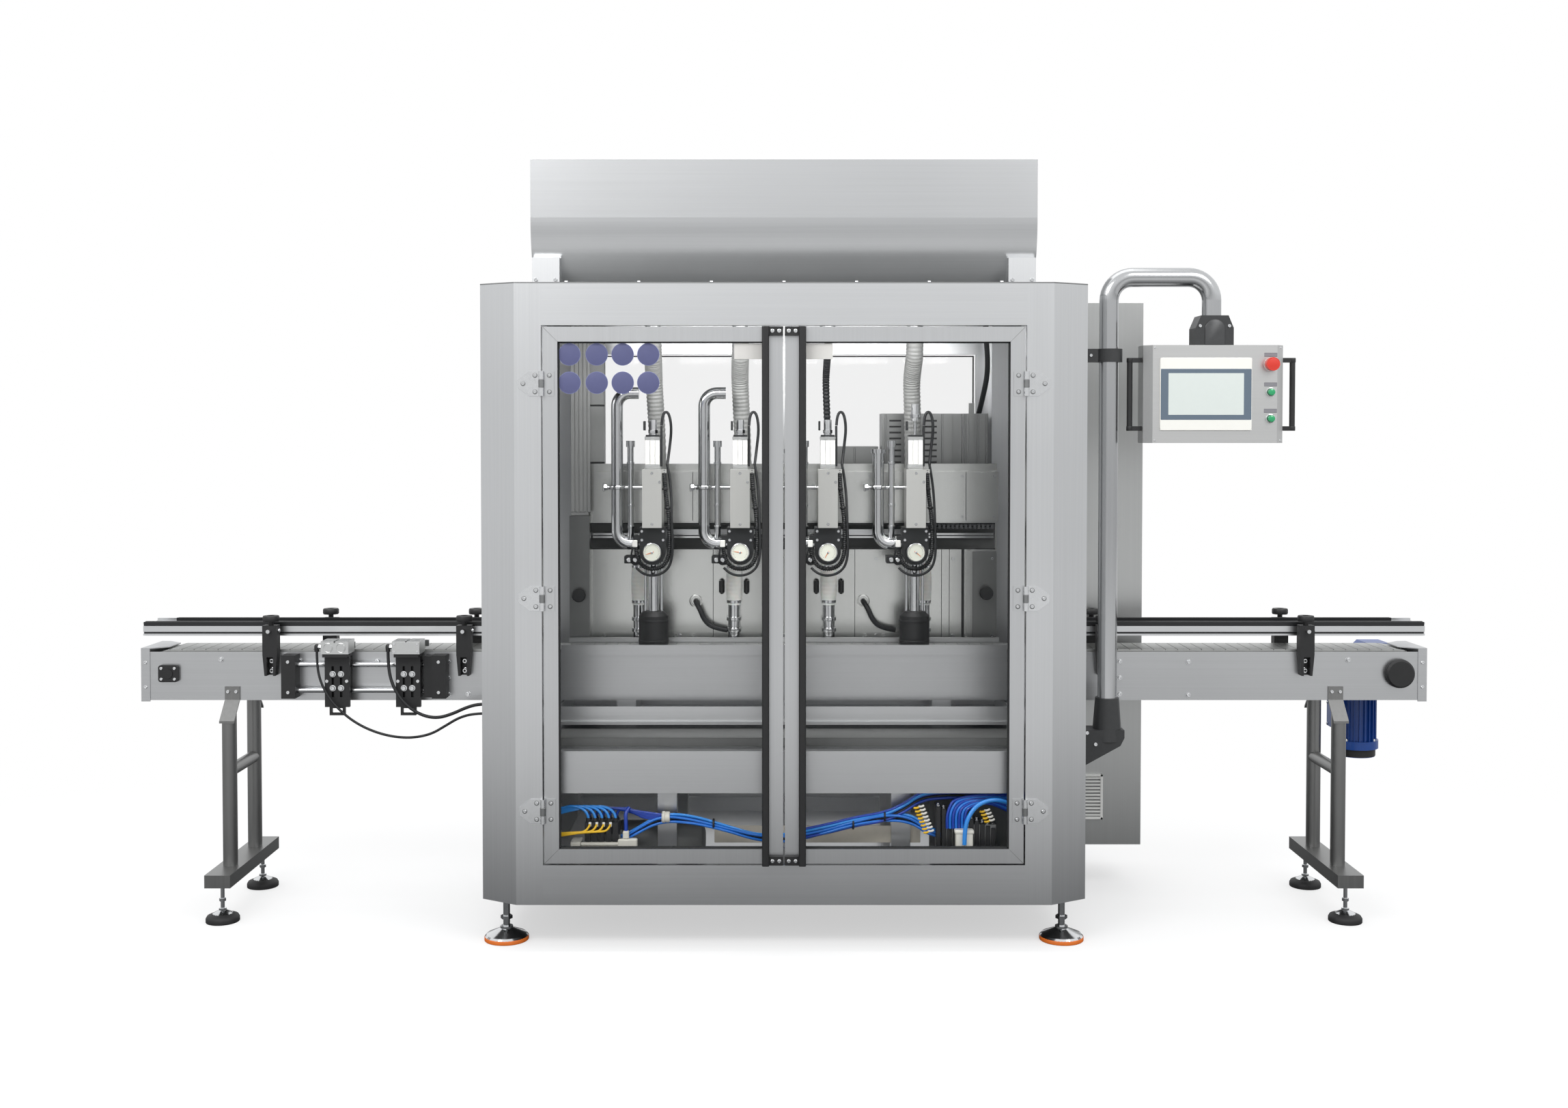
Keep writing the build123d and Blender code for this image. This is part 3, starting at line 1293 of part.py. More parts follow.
def inner_housings():
    """Servo housings behind the track, the tall one with a recess and a cable strip up its front, a
    column at the left, and two valve islands on the floor."""
    y = TRACK_Y + TRACK_DEPTH + TRACK_PLATE + HOUSING_SETBACK
    tall = standing_box(HOUSING_SPLIT, y, deck_z, TALL_HOUSING)
    inset, width, depth = HOUSING_RECESS
    top = deck_z + TALL_HOUSING[2]
    tall -= block(HOUSING_SPLIT + inset, HOUSING_SPLIT + inset + width, y - 1, y + depth, deck_z - 1, top + 1)
    inset, width, depth = HOUSING_STRIP
    x = HOUSING_SPLIT + inset
    tall += block(x, x + width, y - depth, y, deck_z, top + HOUSING_STRIP_RISE)
    shapes = [
        tall,
        standing_box(HOUSING_SPLIT - HOUSING_GAP - LOW_HOUSING[0], y, deck_z, LOW_HOUSING),
        standing_box(-inside_x, BACK_PANEL_Y - LEFT_COLUMN[1], deck_z, LEFT_COLUMN),
    ]
    for x, size in zip(ISLAND_XS, (LEFT_ISLAND, RIGHT_ISLAND)):
        shapes.append(standing_box(x - size[0] / 2, ISLAND_Y - size[1] / 2, floor_top, size))
    return group(shapes)


def air_bundle_route():
    """The tied bundle of air tubes, which sags between the side faces of the two valve islands."""
    x0 = ISLAND_XS[0] + LEFT_ISLAND[0] / 2
    span = ISLAND_XS[1] - RIGHT_ISLAND[0] / 2 - x0
    z0 = floor_top + AIR_BUNDLE_RISE
    shape = [
        (0, 0, 0), (0.05, 0, 0), (0.13, -3, 40), (0.24, -6, 84), (0.36, -8, 70), (0.47, -9, 34),
        (0.58, -9, 12), (0.69, -8, 32), (0.80, -6, 72), (0.89, -3, 74), (0.955, 0, 25), (1, 0, 25),
    ]
    return [(x0 + share * span, ISLAND_Y + dy, z0 + dz) for share, dy, dz in shape]


def air_tubes():
    return cable(air_bundle_route(), AIR_BUNDLE_RADIUS)


# Filling heads

def head_carriage():
    """Runner blocks on the rail, the tie bar between them and an arm through the slot to each head."""
    z0, z1 = TRACK_CENTRE - RUNNER_HEIGHT / 2, TRACK_CENTRE + RUNNER_HEIGHT / 2
    back = TRACK_Y - RUNNER_GAP
    middle = back - RUNNER_DEPTH
    w, a = RUNNER_WIDTH / 2, ARM_WIDTH / 2
    bar = block(head_xs[0] - w, head_xs[-1] + w, middle, back, z1 - TIE_BAR_HEIGHT, z1)
    runners = [block(x - w, x + w, middle, back, z0, z1) for x in head_xs]
    arms = [block(x - a, x + a, HEAD_BACK, middle, z0, z1) for x in head_xs]
    return fused([bar, *runners, *arms])


def gauge_block(x):
    """Valve block with a round bottom, its pressure gauge and the fitting of its hose."""
    w = VALVE_BLOCK_WIDTH / 2
    y0 = VALVE_BLOCK_FRONT
    body = block(x - w, x + w, y0, HEAD_BACK, gauge_z, cover_z) + rod_y(y0, HEAD_BACK, x, gauge_z, w)
    stem = rod_y(y0 - GAUGE_DEPTH, y0, x, gauge_z, GAUGE_STEM)
    case = rod_y(y0 - GAUGE_DEPTH, y0 - GAUGE_DEPTH / 4, x, gauge_z, GAUGE_RADIUS)
    z = gauge_z + HOSE_FITTING_LIFT
    d = HOSE_GAP + 2 * HOSE_RADIUS
    fitting = block(
        x - w - d, x - w, HOSE_Y - HOSE_RADIUS, HOSE_Y + HOSE_RADIUS, z, z + HOSE_FITTING_HEIGHT
    )
    return fused([body, stem, case, fitting])


def gauge_blocks():
    return group([gauge_block(x) for x in head_xs])


def head_cover(x):
    """Cover plate of one head, with the clip at its right that holds the top of the hose."""
    w = HEAD_WIDTH / 2
    r = HOSE_RADIUS + HOSE_CLIP_GAP
    cover = block(x - w, x + w, HEAD_FRONT, HEAD_BACK, cover_z, cover_top)
    clip = block(x + w, x + w + 2 * r, HOSE_Y - r, HOSE_Y + r, cover_top - HOSE_CLIP_HEIGHT, cover_top)
    return cover + clip


def head_covers():
    return group([head_cover(x) for x in head_xs])


def head_cylinders():
    """A compact cylinder on each cover; the rod of the last one is out."""
    half = HEAD_CYLINDER / 2
    y = (HEAD_FRONT + HEAD_BACK) / 2
    z1 = cover_top + HEAD_CYLINDER_HEIGHT
    shapes = []
    for x, out in zip(head_xs, HEAD_ROD_OUT):
        body = block(x - half, x + half, y - half, y + half, cover_top, z1)
        rod = rod_z(z1, z1 + out, x, y, HEAD_ROD_RADIUS)
        cap = rod_z(z1 + out, z1 + out + HEAD_CAP_HEIGHT, x, y, HEAD_CAP_RADIUS)
        shapes.append(fused([body, rod, cap]))
    return group(shapes)


def fill_nozzles():
    """Nozzle tube, two guide bars and the round shroud that comes down over a container's neck."""
    shroud_z = CHAIN_TOP + SHROUD_LIFT
    shroud_top = shroud_z + SHROUD_HEIGHT
    block_z = gauge_z - VALVE_BLOCK_WIDTH / 2
    shapes = []
    for x in (head_xs[0], head_xs[-1]):
        tube = rod_z(shroud_top - 1, block_z, x, 0, NOZZLE_RADIUS)
        bars = [
            rod_z(shroud_top - 1, gauge_z, x + s * NOZZLE_BAR_SPACING / 2, 0, NOZZLE_BAR_RADIUS)
            for s in (-1, 1)
        ]
        shroud = rod_z(shroud_z, shroud_top, x, 0, SHROUD_RADIUS)
        shroud = chamfer(shroud.edges().group_by(Axis.Z)[-1], SHROUD_SHOULDER)
        round_bottom = rod_y(VALVE_BLOCK_FRONT, HEAD_BACK, x, gauge_z, VALVE_BLOCK_WIDTH / 2)
        shapes.append(fused([shroud, tube, *bars]) - round_bottom)
    return group(shapes)


def head_pipe(x, hooked):
    """Bent stainless pipe at the left of a head, its clamp, and the level tube beside it. A hooked
    pipe turns over at the top, and the others end there in a ferrule."""
    px = x - PIPE_OFFSET
    low = cover_z - PIPE_DROP
    edge = x - VALVE_BLOCK_WIDTH / 2
    if hooked:
        top = cover_top + PIPE_RISE
        start = Plane(origin=(px + PIPE_HOOK, PIPE_Y, top), z_dir=(-1, 0, 0))
        corners = [(px + PIPE_HOOK, PIPE_Y, top), (px, PIPE_Y, top)]
    else:
        top = cover_top + STRAIGHT_RISE
        start = Plane(origin=(px, PIPE_Y, top), z_dir=(0, 0, -1))
        corners = [(px, PIPE_Y, top)]
    path = FilletPolyline(*corners, (px, PIPE_Y, low), (edge, PIPE_Y, low), radius=PIPE_BEND)
    pipe = sweep(start * Circle(PIPE_RADIUS), path=path)
    if not hooked:
        pipe += rod_z(top - PIPE_CLAMP_HEIGHT, top, px, PIPE_Y, PIPE_CLAMP_RADIUS)
    clamp_z = cover_z + PIPE_CLAMP_RISE
    clamp = rod_z(clamp_z, clamp_z + PIPE_CLAMP_HEIGHT, px, PIPE_Y, PIPE_CLAMP_RADIUS)
    bar = rod_x(
        px - PIPE_CLAMP_RADIUS - PIPE_CLAMP_HEIGHT, x - HEAD_WIDTH / 2, PIPE_Y,
        clamp_z + PIPE_CLAMP_HEIGHT / 2, PIPE_BAR_RADIUS,
    )
    lx = x - LEVEL_OFFSET
    level_top = cover_top + LEVEL_RISE
    level = rod_z(low, level_top, lx, PIPE_Y, LEVEL_RADIUS)
    cap = rod_z(level_top - LEVEL_CAP_HEIGHT, level_top, lx, PIPE_Y, LEVEL_CAP_RADIUS)
    return fused([pipe, clamp, bar, level, cap])


def head_pipes():
    return group([head_pipe(x, i < HOOKED_PIPES) for i, x in enumerate(head_xs)])


def hose_route(x):
    """The hose comes down the right of a cover and turns under the valve block to its fitting."""
    r = VALVE_BLOCK_WIDTH / 2 + HOSE_GAP + HOSE_RADIUS
    near = HEAD_WIDTH / 2 + HOSE_CLIP_GAP + HOSE_RADIUS
    top = cover_top - HOSE_CLIP_HEIGHT
    fall = top - gauge_z
    y, z = HOSE_Y, gauge_z
    return [
        (x + near, y, top), (x + near, y, top - 0.2 * fall), (x + r, y, top - 0.6 * fall),
        (x + r, y, z - r), (x - r, y, z - r), (x - r, y, z + HOSE_FITTING_LIFT),
    ]


def head_hoses():
    return group([cable(hose_route(x), HOSE_RADIUS) for x in head_xs])


# Control panel and arm

def arm_tube():
    """Post, top bend, span, second bend and drop, in one bent tube."""
    path = FilletPolyline(
        (arm_x, ARM_Y, ARM_BOTTOM), (arm_x, ARM_Y, ARM_TOP), (panel_x, ARM_Y, ARM_TOP),
        (panel_x, ARM_Y, drop_z),
        radius=ARM_BEND,
    )
    return sweep(Plane(origin=(arm_x, ARM_Y, ARM_BOTTOM)) * Circle(ARM_TUBE_RADIUS), path=path)


def arm_brackets():
    """Lower socket on its slanted foot, and the upper clamp band; the tube turns in both."""
    inner = ARM_TUBE_RADIUS + ARM_GAP
    socket_top = ARM_BOTTOM + SOCKET_LIP
    socket_z = socket_top - SOCKET_HEIGHT
    socket = Pos(arm_x, ARM_Y, socket_z) * Cone(
        SOCKET_BOTTOM_RADIUS, SOCKET_TOP_RADIUS, SOCKET_HEIGHT, align=(Align.CENTER, Align.CENTER, Align.MIN)
    )
    r, d = SOCKET_BOTTOM_RADIUS, SOCKET_FOOT_TIP
    low = ARM_BOTTOM - SOCKET_FOOT_DROP
    outer = arm_x + r
    foot_plate = front(
        [(cabinet_x, socket_z + 3 * d), (cabinet_x, low), (cabinet_x + d, low),
         (outer - d, socket_z - d), (outer, socket_z + d), (outer, socket_z + 3 * d)],
        ARM_Y - SOCKET_FOOT_WIDTH / 2, ARM_Y + SOCKET_FOOT_WIDTH / 2,
    )
    bore = rod_z(ARM_BOTTOM - ARM_GAP, socket_top + 1, arm_x, ARM_Y, inner)
    lower = socket + foot_plate - bore
    z0, z1 = CLAMP_BOTTOM, CLAMP_BOTTOM + CLAMP_HEIGHT
    band = rod_z(z0, z1, arm_x, ARM_Y, ARM_TUBE_RADIUS + CLAMP_WALL)
    band += block(cabinet_x, arm_x, ARM_Y - CLAMP_HEIGHT / 2, ARM_Y + CLAMP_HEIGHT / 2, z0, z1)
    upper = band - rod_z(z0 - 1, z1 + 1, arm_x, ARM_Y, inner)
    return group([lower, upper])


def panel_coupling():
    """Swivel coupling that turns on the end of the drop tube."""
    w, d = COUPLING_WIDTH / 2, COUPLING_DEPTH / 2
    top = panel_top + COUPLING_HEIGHT
    body = front(
        [(panel_x - w, panel_top), (panel_x + w, panel_top), (panel_x + w, top - COUPLING_NECK),
         (panel_x + w - COUPLING_CORNER, top), (panel_x - w + COUPLING_CORNER, top),
         (panel_x - w, top - COUPLING_NECK)],
        ARM_Y - d, ARM_Y + d,
    )
    return body - rod_z(drop_z - COUPLING_GAP, top + 1, panel_x, ARM_Y, ARM_TUBE_RADIUS + COUPLING_GAP)


def panel_housing():
    """Panel box with chamfered front edges and a hole for each button's stem."""
    w, e = PANEL_WIDTH / 2, PANEL_EDGE
    x0, x1 = panel_x - w, panel_x + w
    box = plan(
        [(x0, panel_back), (x0, panel_front + e), (x0 + e, panel_front), (x1 - e, panel_front),
         (x1, panel_front + e), (x1, panel_back)],
        panel_bottom, panel_top,
    )
    for drop in BUTTON_DROPS:
        box -= rod_y(
            panel_front - 1, panel_front + BUTTON_HOLE_DEPTH, panel_x + BUTTON_X, panel_top - drop,
            BUTTON_STEM + BUTTON_GAP,
        )
    return box


def panel_button(i):
    """A push button whose stem slides in its hole in the panel's face."""
    x, z = panel_x + BUTTON_X, panel_top - BUTTON_DROPS[i]
    face = panel_front - BUTTON_LIFT
    stem = rod_y(face, panel_front + BUTTON_STEM_DEPTH, x, z, BUTTON_STEM)
    return stem + rod_y(face - BUTTON_PROUD[i], face, x, z, BUTTON_RADII[i])


def panel_screen():
    x, z = panel_x - SCREEN_SHIFT, (panel_top + panel_bottom) / 2
    w, h = SCREEN_WIDTH / 2, SCREEN_HEIGHT / 2
    return block(x - w, x + w, panel_front - SCREEN_PROUD, panel_front, z - h, z + h)


def panel_handles():
    """A round bar on two feet at each end of the panel."""
    x = panel_x + PANEL_WIDTH / 2
    z = (panel_top + panel_bottom) / 2
    half = HANDLE_LENGTH / 2
    f = HANDLE_FOOT / 2
    bar = rod_z(z - half, z + half, x + HANDLE_REACH, ARM_Y, HANDLE_RADIUS)
    feet = [
        block(x, x + HANDLE_REACH, ARM_Y - f, ARM_Y + f, end - f, end + f)
        for end in (z - half + f, z + half - f)
    ]
    right = fused([bar, *feet])
    return group([right, mirror(right, about=Plane.YZ.offset(panel_x))])


# Electrical cabinet

def electrical_cabinet():
    """Plain box on the right side panel, with a louvred fan grille low on its front."""
    x0, y0, z0 = cabinet_x, ELECTRICAL_FRONT, cabinet_bottom + ELECTRICAL_LIFT
    box = block(x0, x0 + ELECTRICAL_WIDTH, y0, y0 + ELECTRICAL_DEPTH, z0, z0 + ELECTRICAL_HEIGHT)
    gx, gz = x0 + GRILLE_INSET, z0 + GRILLE_RISE
    grille = block(gx, gx + GRILLE_SIZE, y0 - GRILLE_PROUD, y0, gz, gz + GRILLE_SIZE)
    pitch = (GRILLE_SIZE - 2 * GRILLE_RIM) / GRILLE_SLOTS
    for i in range(GRILLE_SLOTS):
        z = gz + GRILLE_RIM + pitch * (i + 0.5)
        grille -= block(
            gx + GRILLE_RIM, gx + GRILLE_SIZE - GRILLE_RIM, y0 - GRILLE_PROUD - 1,
            y0 - GRILLE_PROUD + GRILLE_SLOT_DEPTH, z - GRILLE_SLOT_HEIGHT / 2, z + GRILLE_SLOT_HEIGHT / 2,
        )
    return box + grille


NODES = {
    "base_frame": base_frame,
    "corner_columns": corner_columns,
    "cabinet_beams": cabinet_beams,
    "roof_panel": roof_panel,
    "side_panels": side_panels,
    "post_hinge_leaves": post_hinge_leaves,
    "rear_window_frames": rear_window_frames,
    "rear_window_panes": rear_window_panes,
    "right_door_frame": door_frame,
    "right_door_pane": door_pane,
    "right_door_grip": door_grip,
    "left_door_frame": lambda: mirror_x(door_frame()),
    "left_door_pane": lambda: mirror_x(door_pane()),
    "left_door_grip": lambda: mirror_x(door_grip()),
    "hopper": hopper,
    "hopper_saddles": hopper_saddles,
    "conveyor_side_plates": conveyor_side_plates,
    "conveyor_chain": conveyor_chain,
    "conveyor_shafts": conveyor_shafts,
    "shaft_covers": shaft_covers,
    "conveyor_end_covers": conveyor_end_covers,
    "leg_stands": leg_stands,
    "levelling_feet": levelling_feet,
    "gear_motor": gear_motor,
    "rail_brackets": rail_brackets,
    "near_rail_left": lambda: guide_rail(near_bracket_xs, True),
    "near_rail_right": lambda: guide_rail(near_bracket_xs, False),
    "far_rail_left": lambda: mirror_y(guide_rail(far_bracket_xs, True)),
    "far_rail_right": lambda: mirror_y(guide_rail(far_bracket_xs, False)),
    "stopper_slide": stopper_slide,
    "stopper_cylinders": stopper_cylinders,
    "stopper_front": lambda: stopper(0),
    "stopper_rear": lambda: stopper(1),
    "stopper_cable_front": lambda: cable(FRONT_CABLE, CABLE_RADII[0]),
    "stopper_cable_rear": lambda: cable(REAR_CABLE, CABLE_RADII[1]),
    "machine_bed": machine_bed,
    "drip_tray": drip_tray,
    "rear_deck": rear_deck,
    "riser_sleeves": riser_sleeves,
    "back_panel": back_panel,
    "tracking_rails": tracking_rails,
    "inner_housings": inner_housings,
    "air_tubes": air_tubes,
    "head_carriage": head_carriage,
    "gauge_blocks": gauge_blocks,
    "head_covers": head_covers,
    "head_cylinders": head_cylinders,
    "fill_nozzles": fill_nozzles,
    "head_pipes": head_pipes,
    "head_hoses": head_hoses,
    "arm_tube": arm_tube,
    "arm_brackets": arm_brackets,
    "panel_coupling": panel_coupling,
    "panel_housing": panel_housing,
    "panel_screen": panel_screen,
    "panel_handles": panel_handles,
    "stop_button": lambda: panel_button(0),
    "upper_button": lambda: panel_button(1),
    "lower_button": lambda: panel_button(2),
    "electrical_cabinet": electrical_cabinet,
}

if __name__ == "__main__":
    os.makedirs("parts", exist_ok=True)
    for name, make in NODES.items():
        shape = make()
        export_step(Compound(shape.solids()), f"parts/{name}.step")
        print(name, len(shape.solids()))
    routes = {
        "front cable": FRONT_CABLE, "rear cable": REAR_CABLE, "air tubes": air_bundle_route(),
        "head hose": hose_route(head_xs[0]),
    }
    for name, points in routes.items():
        print("bend radii of the", name, [round(r) for r in bend_radii(points)])
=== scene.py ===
import math

import bpy
import numpy as np
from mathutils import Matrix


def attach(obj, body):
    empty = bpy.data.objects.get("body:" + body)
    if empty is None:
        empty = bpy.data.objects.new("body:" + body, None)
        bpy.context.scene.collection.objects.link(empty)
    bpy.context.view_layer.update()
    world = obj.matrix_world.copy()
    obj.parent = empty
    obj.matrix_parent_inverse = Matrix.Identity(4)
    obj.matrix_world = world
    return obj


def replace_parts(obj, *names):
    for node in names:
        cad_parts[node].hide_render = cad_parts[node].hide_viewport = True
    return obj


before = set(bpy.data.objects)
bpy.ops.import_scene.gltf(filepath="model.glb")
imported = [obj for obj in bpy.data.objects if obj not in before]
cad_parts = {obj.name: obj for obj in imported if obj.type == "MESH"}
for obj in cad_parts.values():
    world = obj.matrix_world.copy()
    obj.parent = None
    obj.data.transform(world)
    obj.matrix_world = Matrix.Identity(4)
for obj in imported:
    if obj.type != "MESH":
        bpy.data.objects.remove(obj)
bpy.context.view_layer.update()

# Camera and studio
# The machine stands on a pale floor that runs into a white background, seen square from the
# front at eye height. Large soft lamps, a bright room that is darker near the floor, and a light
# strip inside the cabinet's header light it.
scene = bpy.context.scene
scene.view_settings.view_transform = "Standard"

camera = bpy.data.objects.new("camera", bpy.data.cameras.new("camera"))
scene.collection.objects.link(camera)
camera.data.sensor_width = 36.0
camera.data.lens = 36.85
camera.data.shift_y = -0.052
camera.data.clip_end = 60.0
eye_distance, eye_height, tilt = 5.16, 1.53, 88.5
camera.location = (0.0, -eye_distance, eye_height)
camera.rotation_euler = (math.radians(tilt), 0.0, 0.0)
scene.camera = camera


def linear(hex_colour):
    """An sRGB hex colour as linear RGBA, by the sRGB transfer curve."""
    code = np.array([int(hex_colour[i:i + 2], 16) for i in (1, 3, 5)]) / 255.0
    light = np.where(code <= 0.04045, code / 12.92, ((code + 0.055) / 1.055) ** 2.4)
    return (*light.tolist(), 1.0)


def add(tree, kind, inputs=(), **settings):
    """Adds a shader node: settings are its properties, inputs its sockets' values or links."""
    made = tree.nodes.new(kind)
    for name, value in settings.items():
        setattr(made, name, value)
    for socket, value in dict(inputs).items():
        if isinstance(value, bpy.types.NodeSocket):
            tree.links.new(value, made.inputs[socket])
        else:
            made.inputs[socket].default_value = value
    return made


def seen_straight(tree):
    """One for rays from the camera, also through glass, and zero for light that bounces."""
    ray = add(tree, "ShaderNodeLightPath")
    return add(tree, "ShaderNodeMath", {0: ray.outputs["Is Camera Ray"],
                                        1: ray.outputs["Is Transmission Ray"]},
               operation="MAXIMUM").outputs[0]


world = bpy.data.worlds.new("studio")
scene.world = world
world.use_nodes = True
sky = world.node_tree
sky.nodes.clear()
height = add(sky, "ShaderNodeSeparateXYZ", {0: add(sky, "ShaderNodeTexCoord").outputs["Generated"]})
rise = add(sky, "ShaderNodeMapRange", {0: height.outputs[2], 1: -0.10, 2: 0.24, 3: 0.0, 4: 1.0})
room = add(sky, "ShaderNodeMix",
           {0: rise.outputs[0], 6: linear("#b4b5b6"), 7: linear("#fbfcfd")}, data_type="RGBA")
light = add(sky, "ShaderNodeBackground", {0: room.outputs[2], 1: 1.12})
white = add(sky, "ShaderNodeBackground", {0: (1.0, 1.0, 1.0, 1.0), 1: 1.0})
mixed = add(sky, "ShaderNodeMixShader",
            {0: seen_straight(sky), 1: light.outputs[0], 2: white.outputs[0]})
add(sky, "ShaderNodeOutputWorld", {0: mixed.outputs[0]})

for name, place, turn, size, power in (
        ("lamp_left", (-2.4, -3.6, 4.3), (50, 0, -32), (2.8, 1.5), 95),
        ("lamp_right", (2.8, -3.4, 4.3), (50, 0, 36), (2.4, 1.5), 65),
        ("lamp_top", (0.0, 0.2, 5.0), (0, 0, 0), (3.6, 2.4), 25),
        ("light_strip", (0.0, -0.330, 1.808), (38, 0, 0), (1.3, 0.04), 8)):
    lamp = bpy.data.objects.new(name, bpy.data.lights.new(name, "AREA"))
    lamp.data.shape = "RECTANGLE"
    lamp.data.size, lamp.data.size_y = size
    lamp.data.energy = power
    lamp.location = place
    lamp.rotation_euler = [math.radians(a) for a in turn]
    scene.collection.objects.link(lamp)


def mesh_piece(name, points, faces, sharp=40.0):
    """A mesh from points (n, 3) and faces, smooth but for edges sharper than the given angle."""
    mesh = bpy.data.meshes.new(name)
    mesh.from_pydata(np.asarray(points, float).reshape(-1, 3).tolist(), [], faces)
    mesh.shade_smooth()
    mesh.set_sharp_from_angle(angle=math.radians(sharp))
    made = bpy.data.objects.new(name, mesh)
    scene.collection.objects.link(made)
    return made


def new_material(name):
    """A material with its node tree and its main shader."""
    made = bpy.data.materials.new(name)
    made.use_nodes = True
    return made, made.node_tree, made.node_tree.nodes["Principled BSDF"]


# The floor fades to white a little beyond the machine, and bounces less light close to it.
half = 14.0
corners = [(-half, -half, 0), (half, -half, 0), (half, half, 0), (-half, half, 0)]
floor = mesh_piece("floor", corners, [(0, 1, 2, 3)])
pale_floor, tree, shader = new_material("pale_floor")
shader.inputs["Roughness"].default_value = 0.9
seen = seen_straight(tree)
spot = add(tree, "ShaderNodeVectorMath", {0: add(tree, "ShaderNodeTexCoord").outputs["Object"],
                                          1: (0.30, 0.55, 0.0)}, operation="MULTIPLY")
far = add(tree, "ShaderNodeVectorMath", {0: spot.outputs[0]}, operation="LENGTH").outputs["Value"]
reach = add(tree, "ShaderNodeMapRange", {0: far, 1: 0.50, 2: 2.4, 3: 0.0, 4: 1.0})
bounce = add(tree, "ShaderNodeMix",
             {0: reach.outputs[0], 6: linear("#4c4d4e"), 7: linear("#d8d8d8")}, data_type="RGBA")
shade = add(tree, "ShaderNodeMix", {0: seen, 6: bounce.outputs[2], 7: linear("#f3f3f3")},
            data_type="RGBA")
tree.links.new(shade.outputs[2], shader.inputs["Base Color"])
edge = add(tree, "ShaderNodeMapRange", {0: far, 1: 0.35, 2: 1.25, 3: 0.55, 4: 1.0})
fade = add(tree, "ShaderNodeMath", {0: seen, 1: edge.outputs[0]}, operation="MULTIPLY")
glow = add(tree, "ShaderNodeEmission", {0: (1.0, 1.0, 1.0, 1.0), 1: 1.0})
faded = add(tree, "ShaderNodeMixShader",
            {0: fade.outputs[0], 1: shader.outputs[0], 2: glow.outputs[0]})
tree.links.new(faded.outputs[0], tree.nodes["Material Output"].inputs[0])
floor.data.materials.append(pale_floor)

# Cables of the stoppers
# Two black rubber-jacketed cables leave the elbow fittings on the stopper cylinders, hang in
# front of the conveyor and rise to the glands on the cabinet's side.
even_grain = (60.0, 60.0, 60.0)


def paint(name, hex_colour, roughness, metallic=0.0, grain=None, bump=None, spread=0.12,
          cloud=0.05, slot=None, **sockets):
    """A material with its own grain: noise stretched by grain (per metre) tints the colour by
    spread, a soft noise half a metre wide tints it by cloud, and bump (scale per metre, depth in
    metres) roughens the surface. Slot, the kind of material that it stands for, is not used."""
    made, tree, shader = new_material(name)
    shader.inputs["Roughness"].default_value = roughness
    shader.inputs["Metallic"].default_value = metallic
    for socket, value in sockets.items():
        shader.inputs[socket.replace("_", " ")].default_value = value
    place = add(tree, "ShaderNodeTexCoord").outputs["Object"]
    stretched = add(tree, "ShaderNodeMapping", {0: place, 3: grain or even_grain}).outputs[0]
    noise = add(tree, "ShaderNodeTexNoise",
                {"Vector": stretched, "Scale": 1.0, "Detail": 4.0}).outputs[0]
    broad = add(tree, "ShaderNodeTexNoise", {"Vector": place, "Scale": 2.0, "Detail": 1.0})
    colour = linear(hex_colour)[:3]
    low = (*[c * (1 - spread) for c in colour], 1.0)
    high = (*[min(1.0, c * (1 + spread)) for c in colour], 1.0)
    tint = add(tree, "ShaderNodeMix", {0: noise, 6: low, 7: high}, data_type="RGBA")
    level = add(tree, "ShaderNodeMapRange",
                {0: broad.outputs[0], 1: 0.3, 2: 0.7, 3: 1.0 - cloud, 4: 1.0})
    shaded = add(tree, "ShaderNodeVectorMath", {0: tint.outputs[2], 3: level.outputs[0]},
                 operation="SCALE")
    tree.links.new(shaded.outputs[0], shader.inputs["Base Color"])
    if grain:
        rough = add(tree, "ShaderNodeMapRange", {0: noise, 3: roughness * (1 - 1.5 * spread),
                                                 4: roughness * (1 + 1.5 * spread)})
        tree.links.new(rough.outputs[0], shader.inputs["Roughness"])
    if bump:
        fine = add(tree, "ShaderNodeTexNoise", {"Vector": place, "Scale": bump[0], "Detail": 2.0})
        relief = add(tree, "ShaderNodeBump",
                     {"Strength": 0.5, "Distance": bump[1], "Height": fine.outputs[0]})
        tree.links.new(relief.outputs[0], shader.inputs["Normal"])
    return made


# Black rubber jacket: soft, nearly matt, with a faint grey dust in its grain.
rubber_jacket = paint("extruded_rubber_jacket", "#1b1c1e", 0.55, bump=(900.0, 0.0002),
                      spread=0.25, slot="cable_jacket")

front_points = [
    (-1.463, -0.15, 0.84), (-1.463, -0.15, 0.796), (-1.452, -0.154, 0.744), (-1.424, -0.158, 0.692),
    (-1.383, -0.161, 0.648), (-1.334, -0.163, 0.612), (-1.279, -0.165, 0.587),
    (-1.22, -0.166, 0.572), (-1.161, -0.167, 0.569), (-1.102, -0.168, 0.581),
    (-1.057, -0.169, 0.608), (-1.012, -0.17, 0.635), (-0.963, -0.171, 0.647),
    (-0.914, -0.171, 0.647),
]
rear_points = [
    (-1.24, -0.15, 0.84), (-1.24, -0.15, 0.796), (-1.23, -0.156, 0.746), (-1.206, -0.161, 0.7),
    (-1.17, -0.165, 0.662), (-1.126, -0.168, 0.638), (-1.08, -0.171, 0.632),
    (-1.034, -0.175, 0.646), (-0.992, -0.178, 0.666), (-0.952, -0.18, 0.678),
    (-0.914, -0.18, 0.678),
]


def place_piece(made, coat, body):
    """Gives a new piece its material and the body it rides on."""
    made.data.materials.append(coat)
    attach(made, body)
    return made


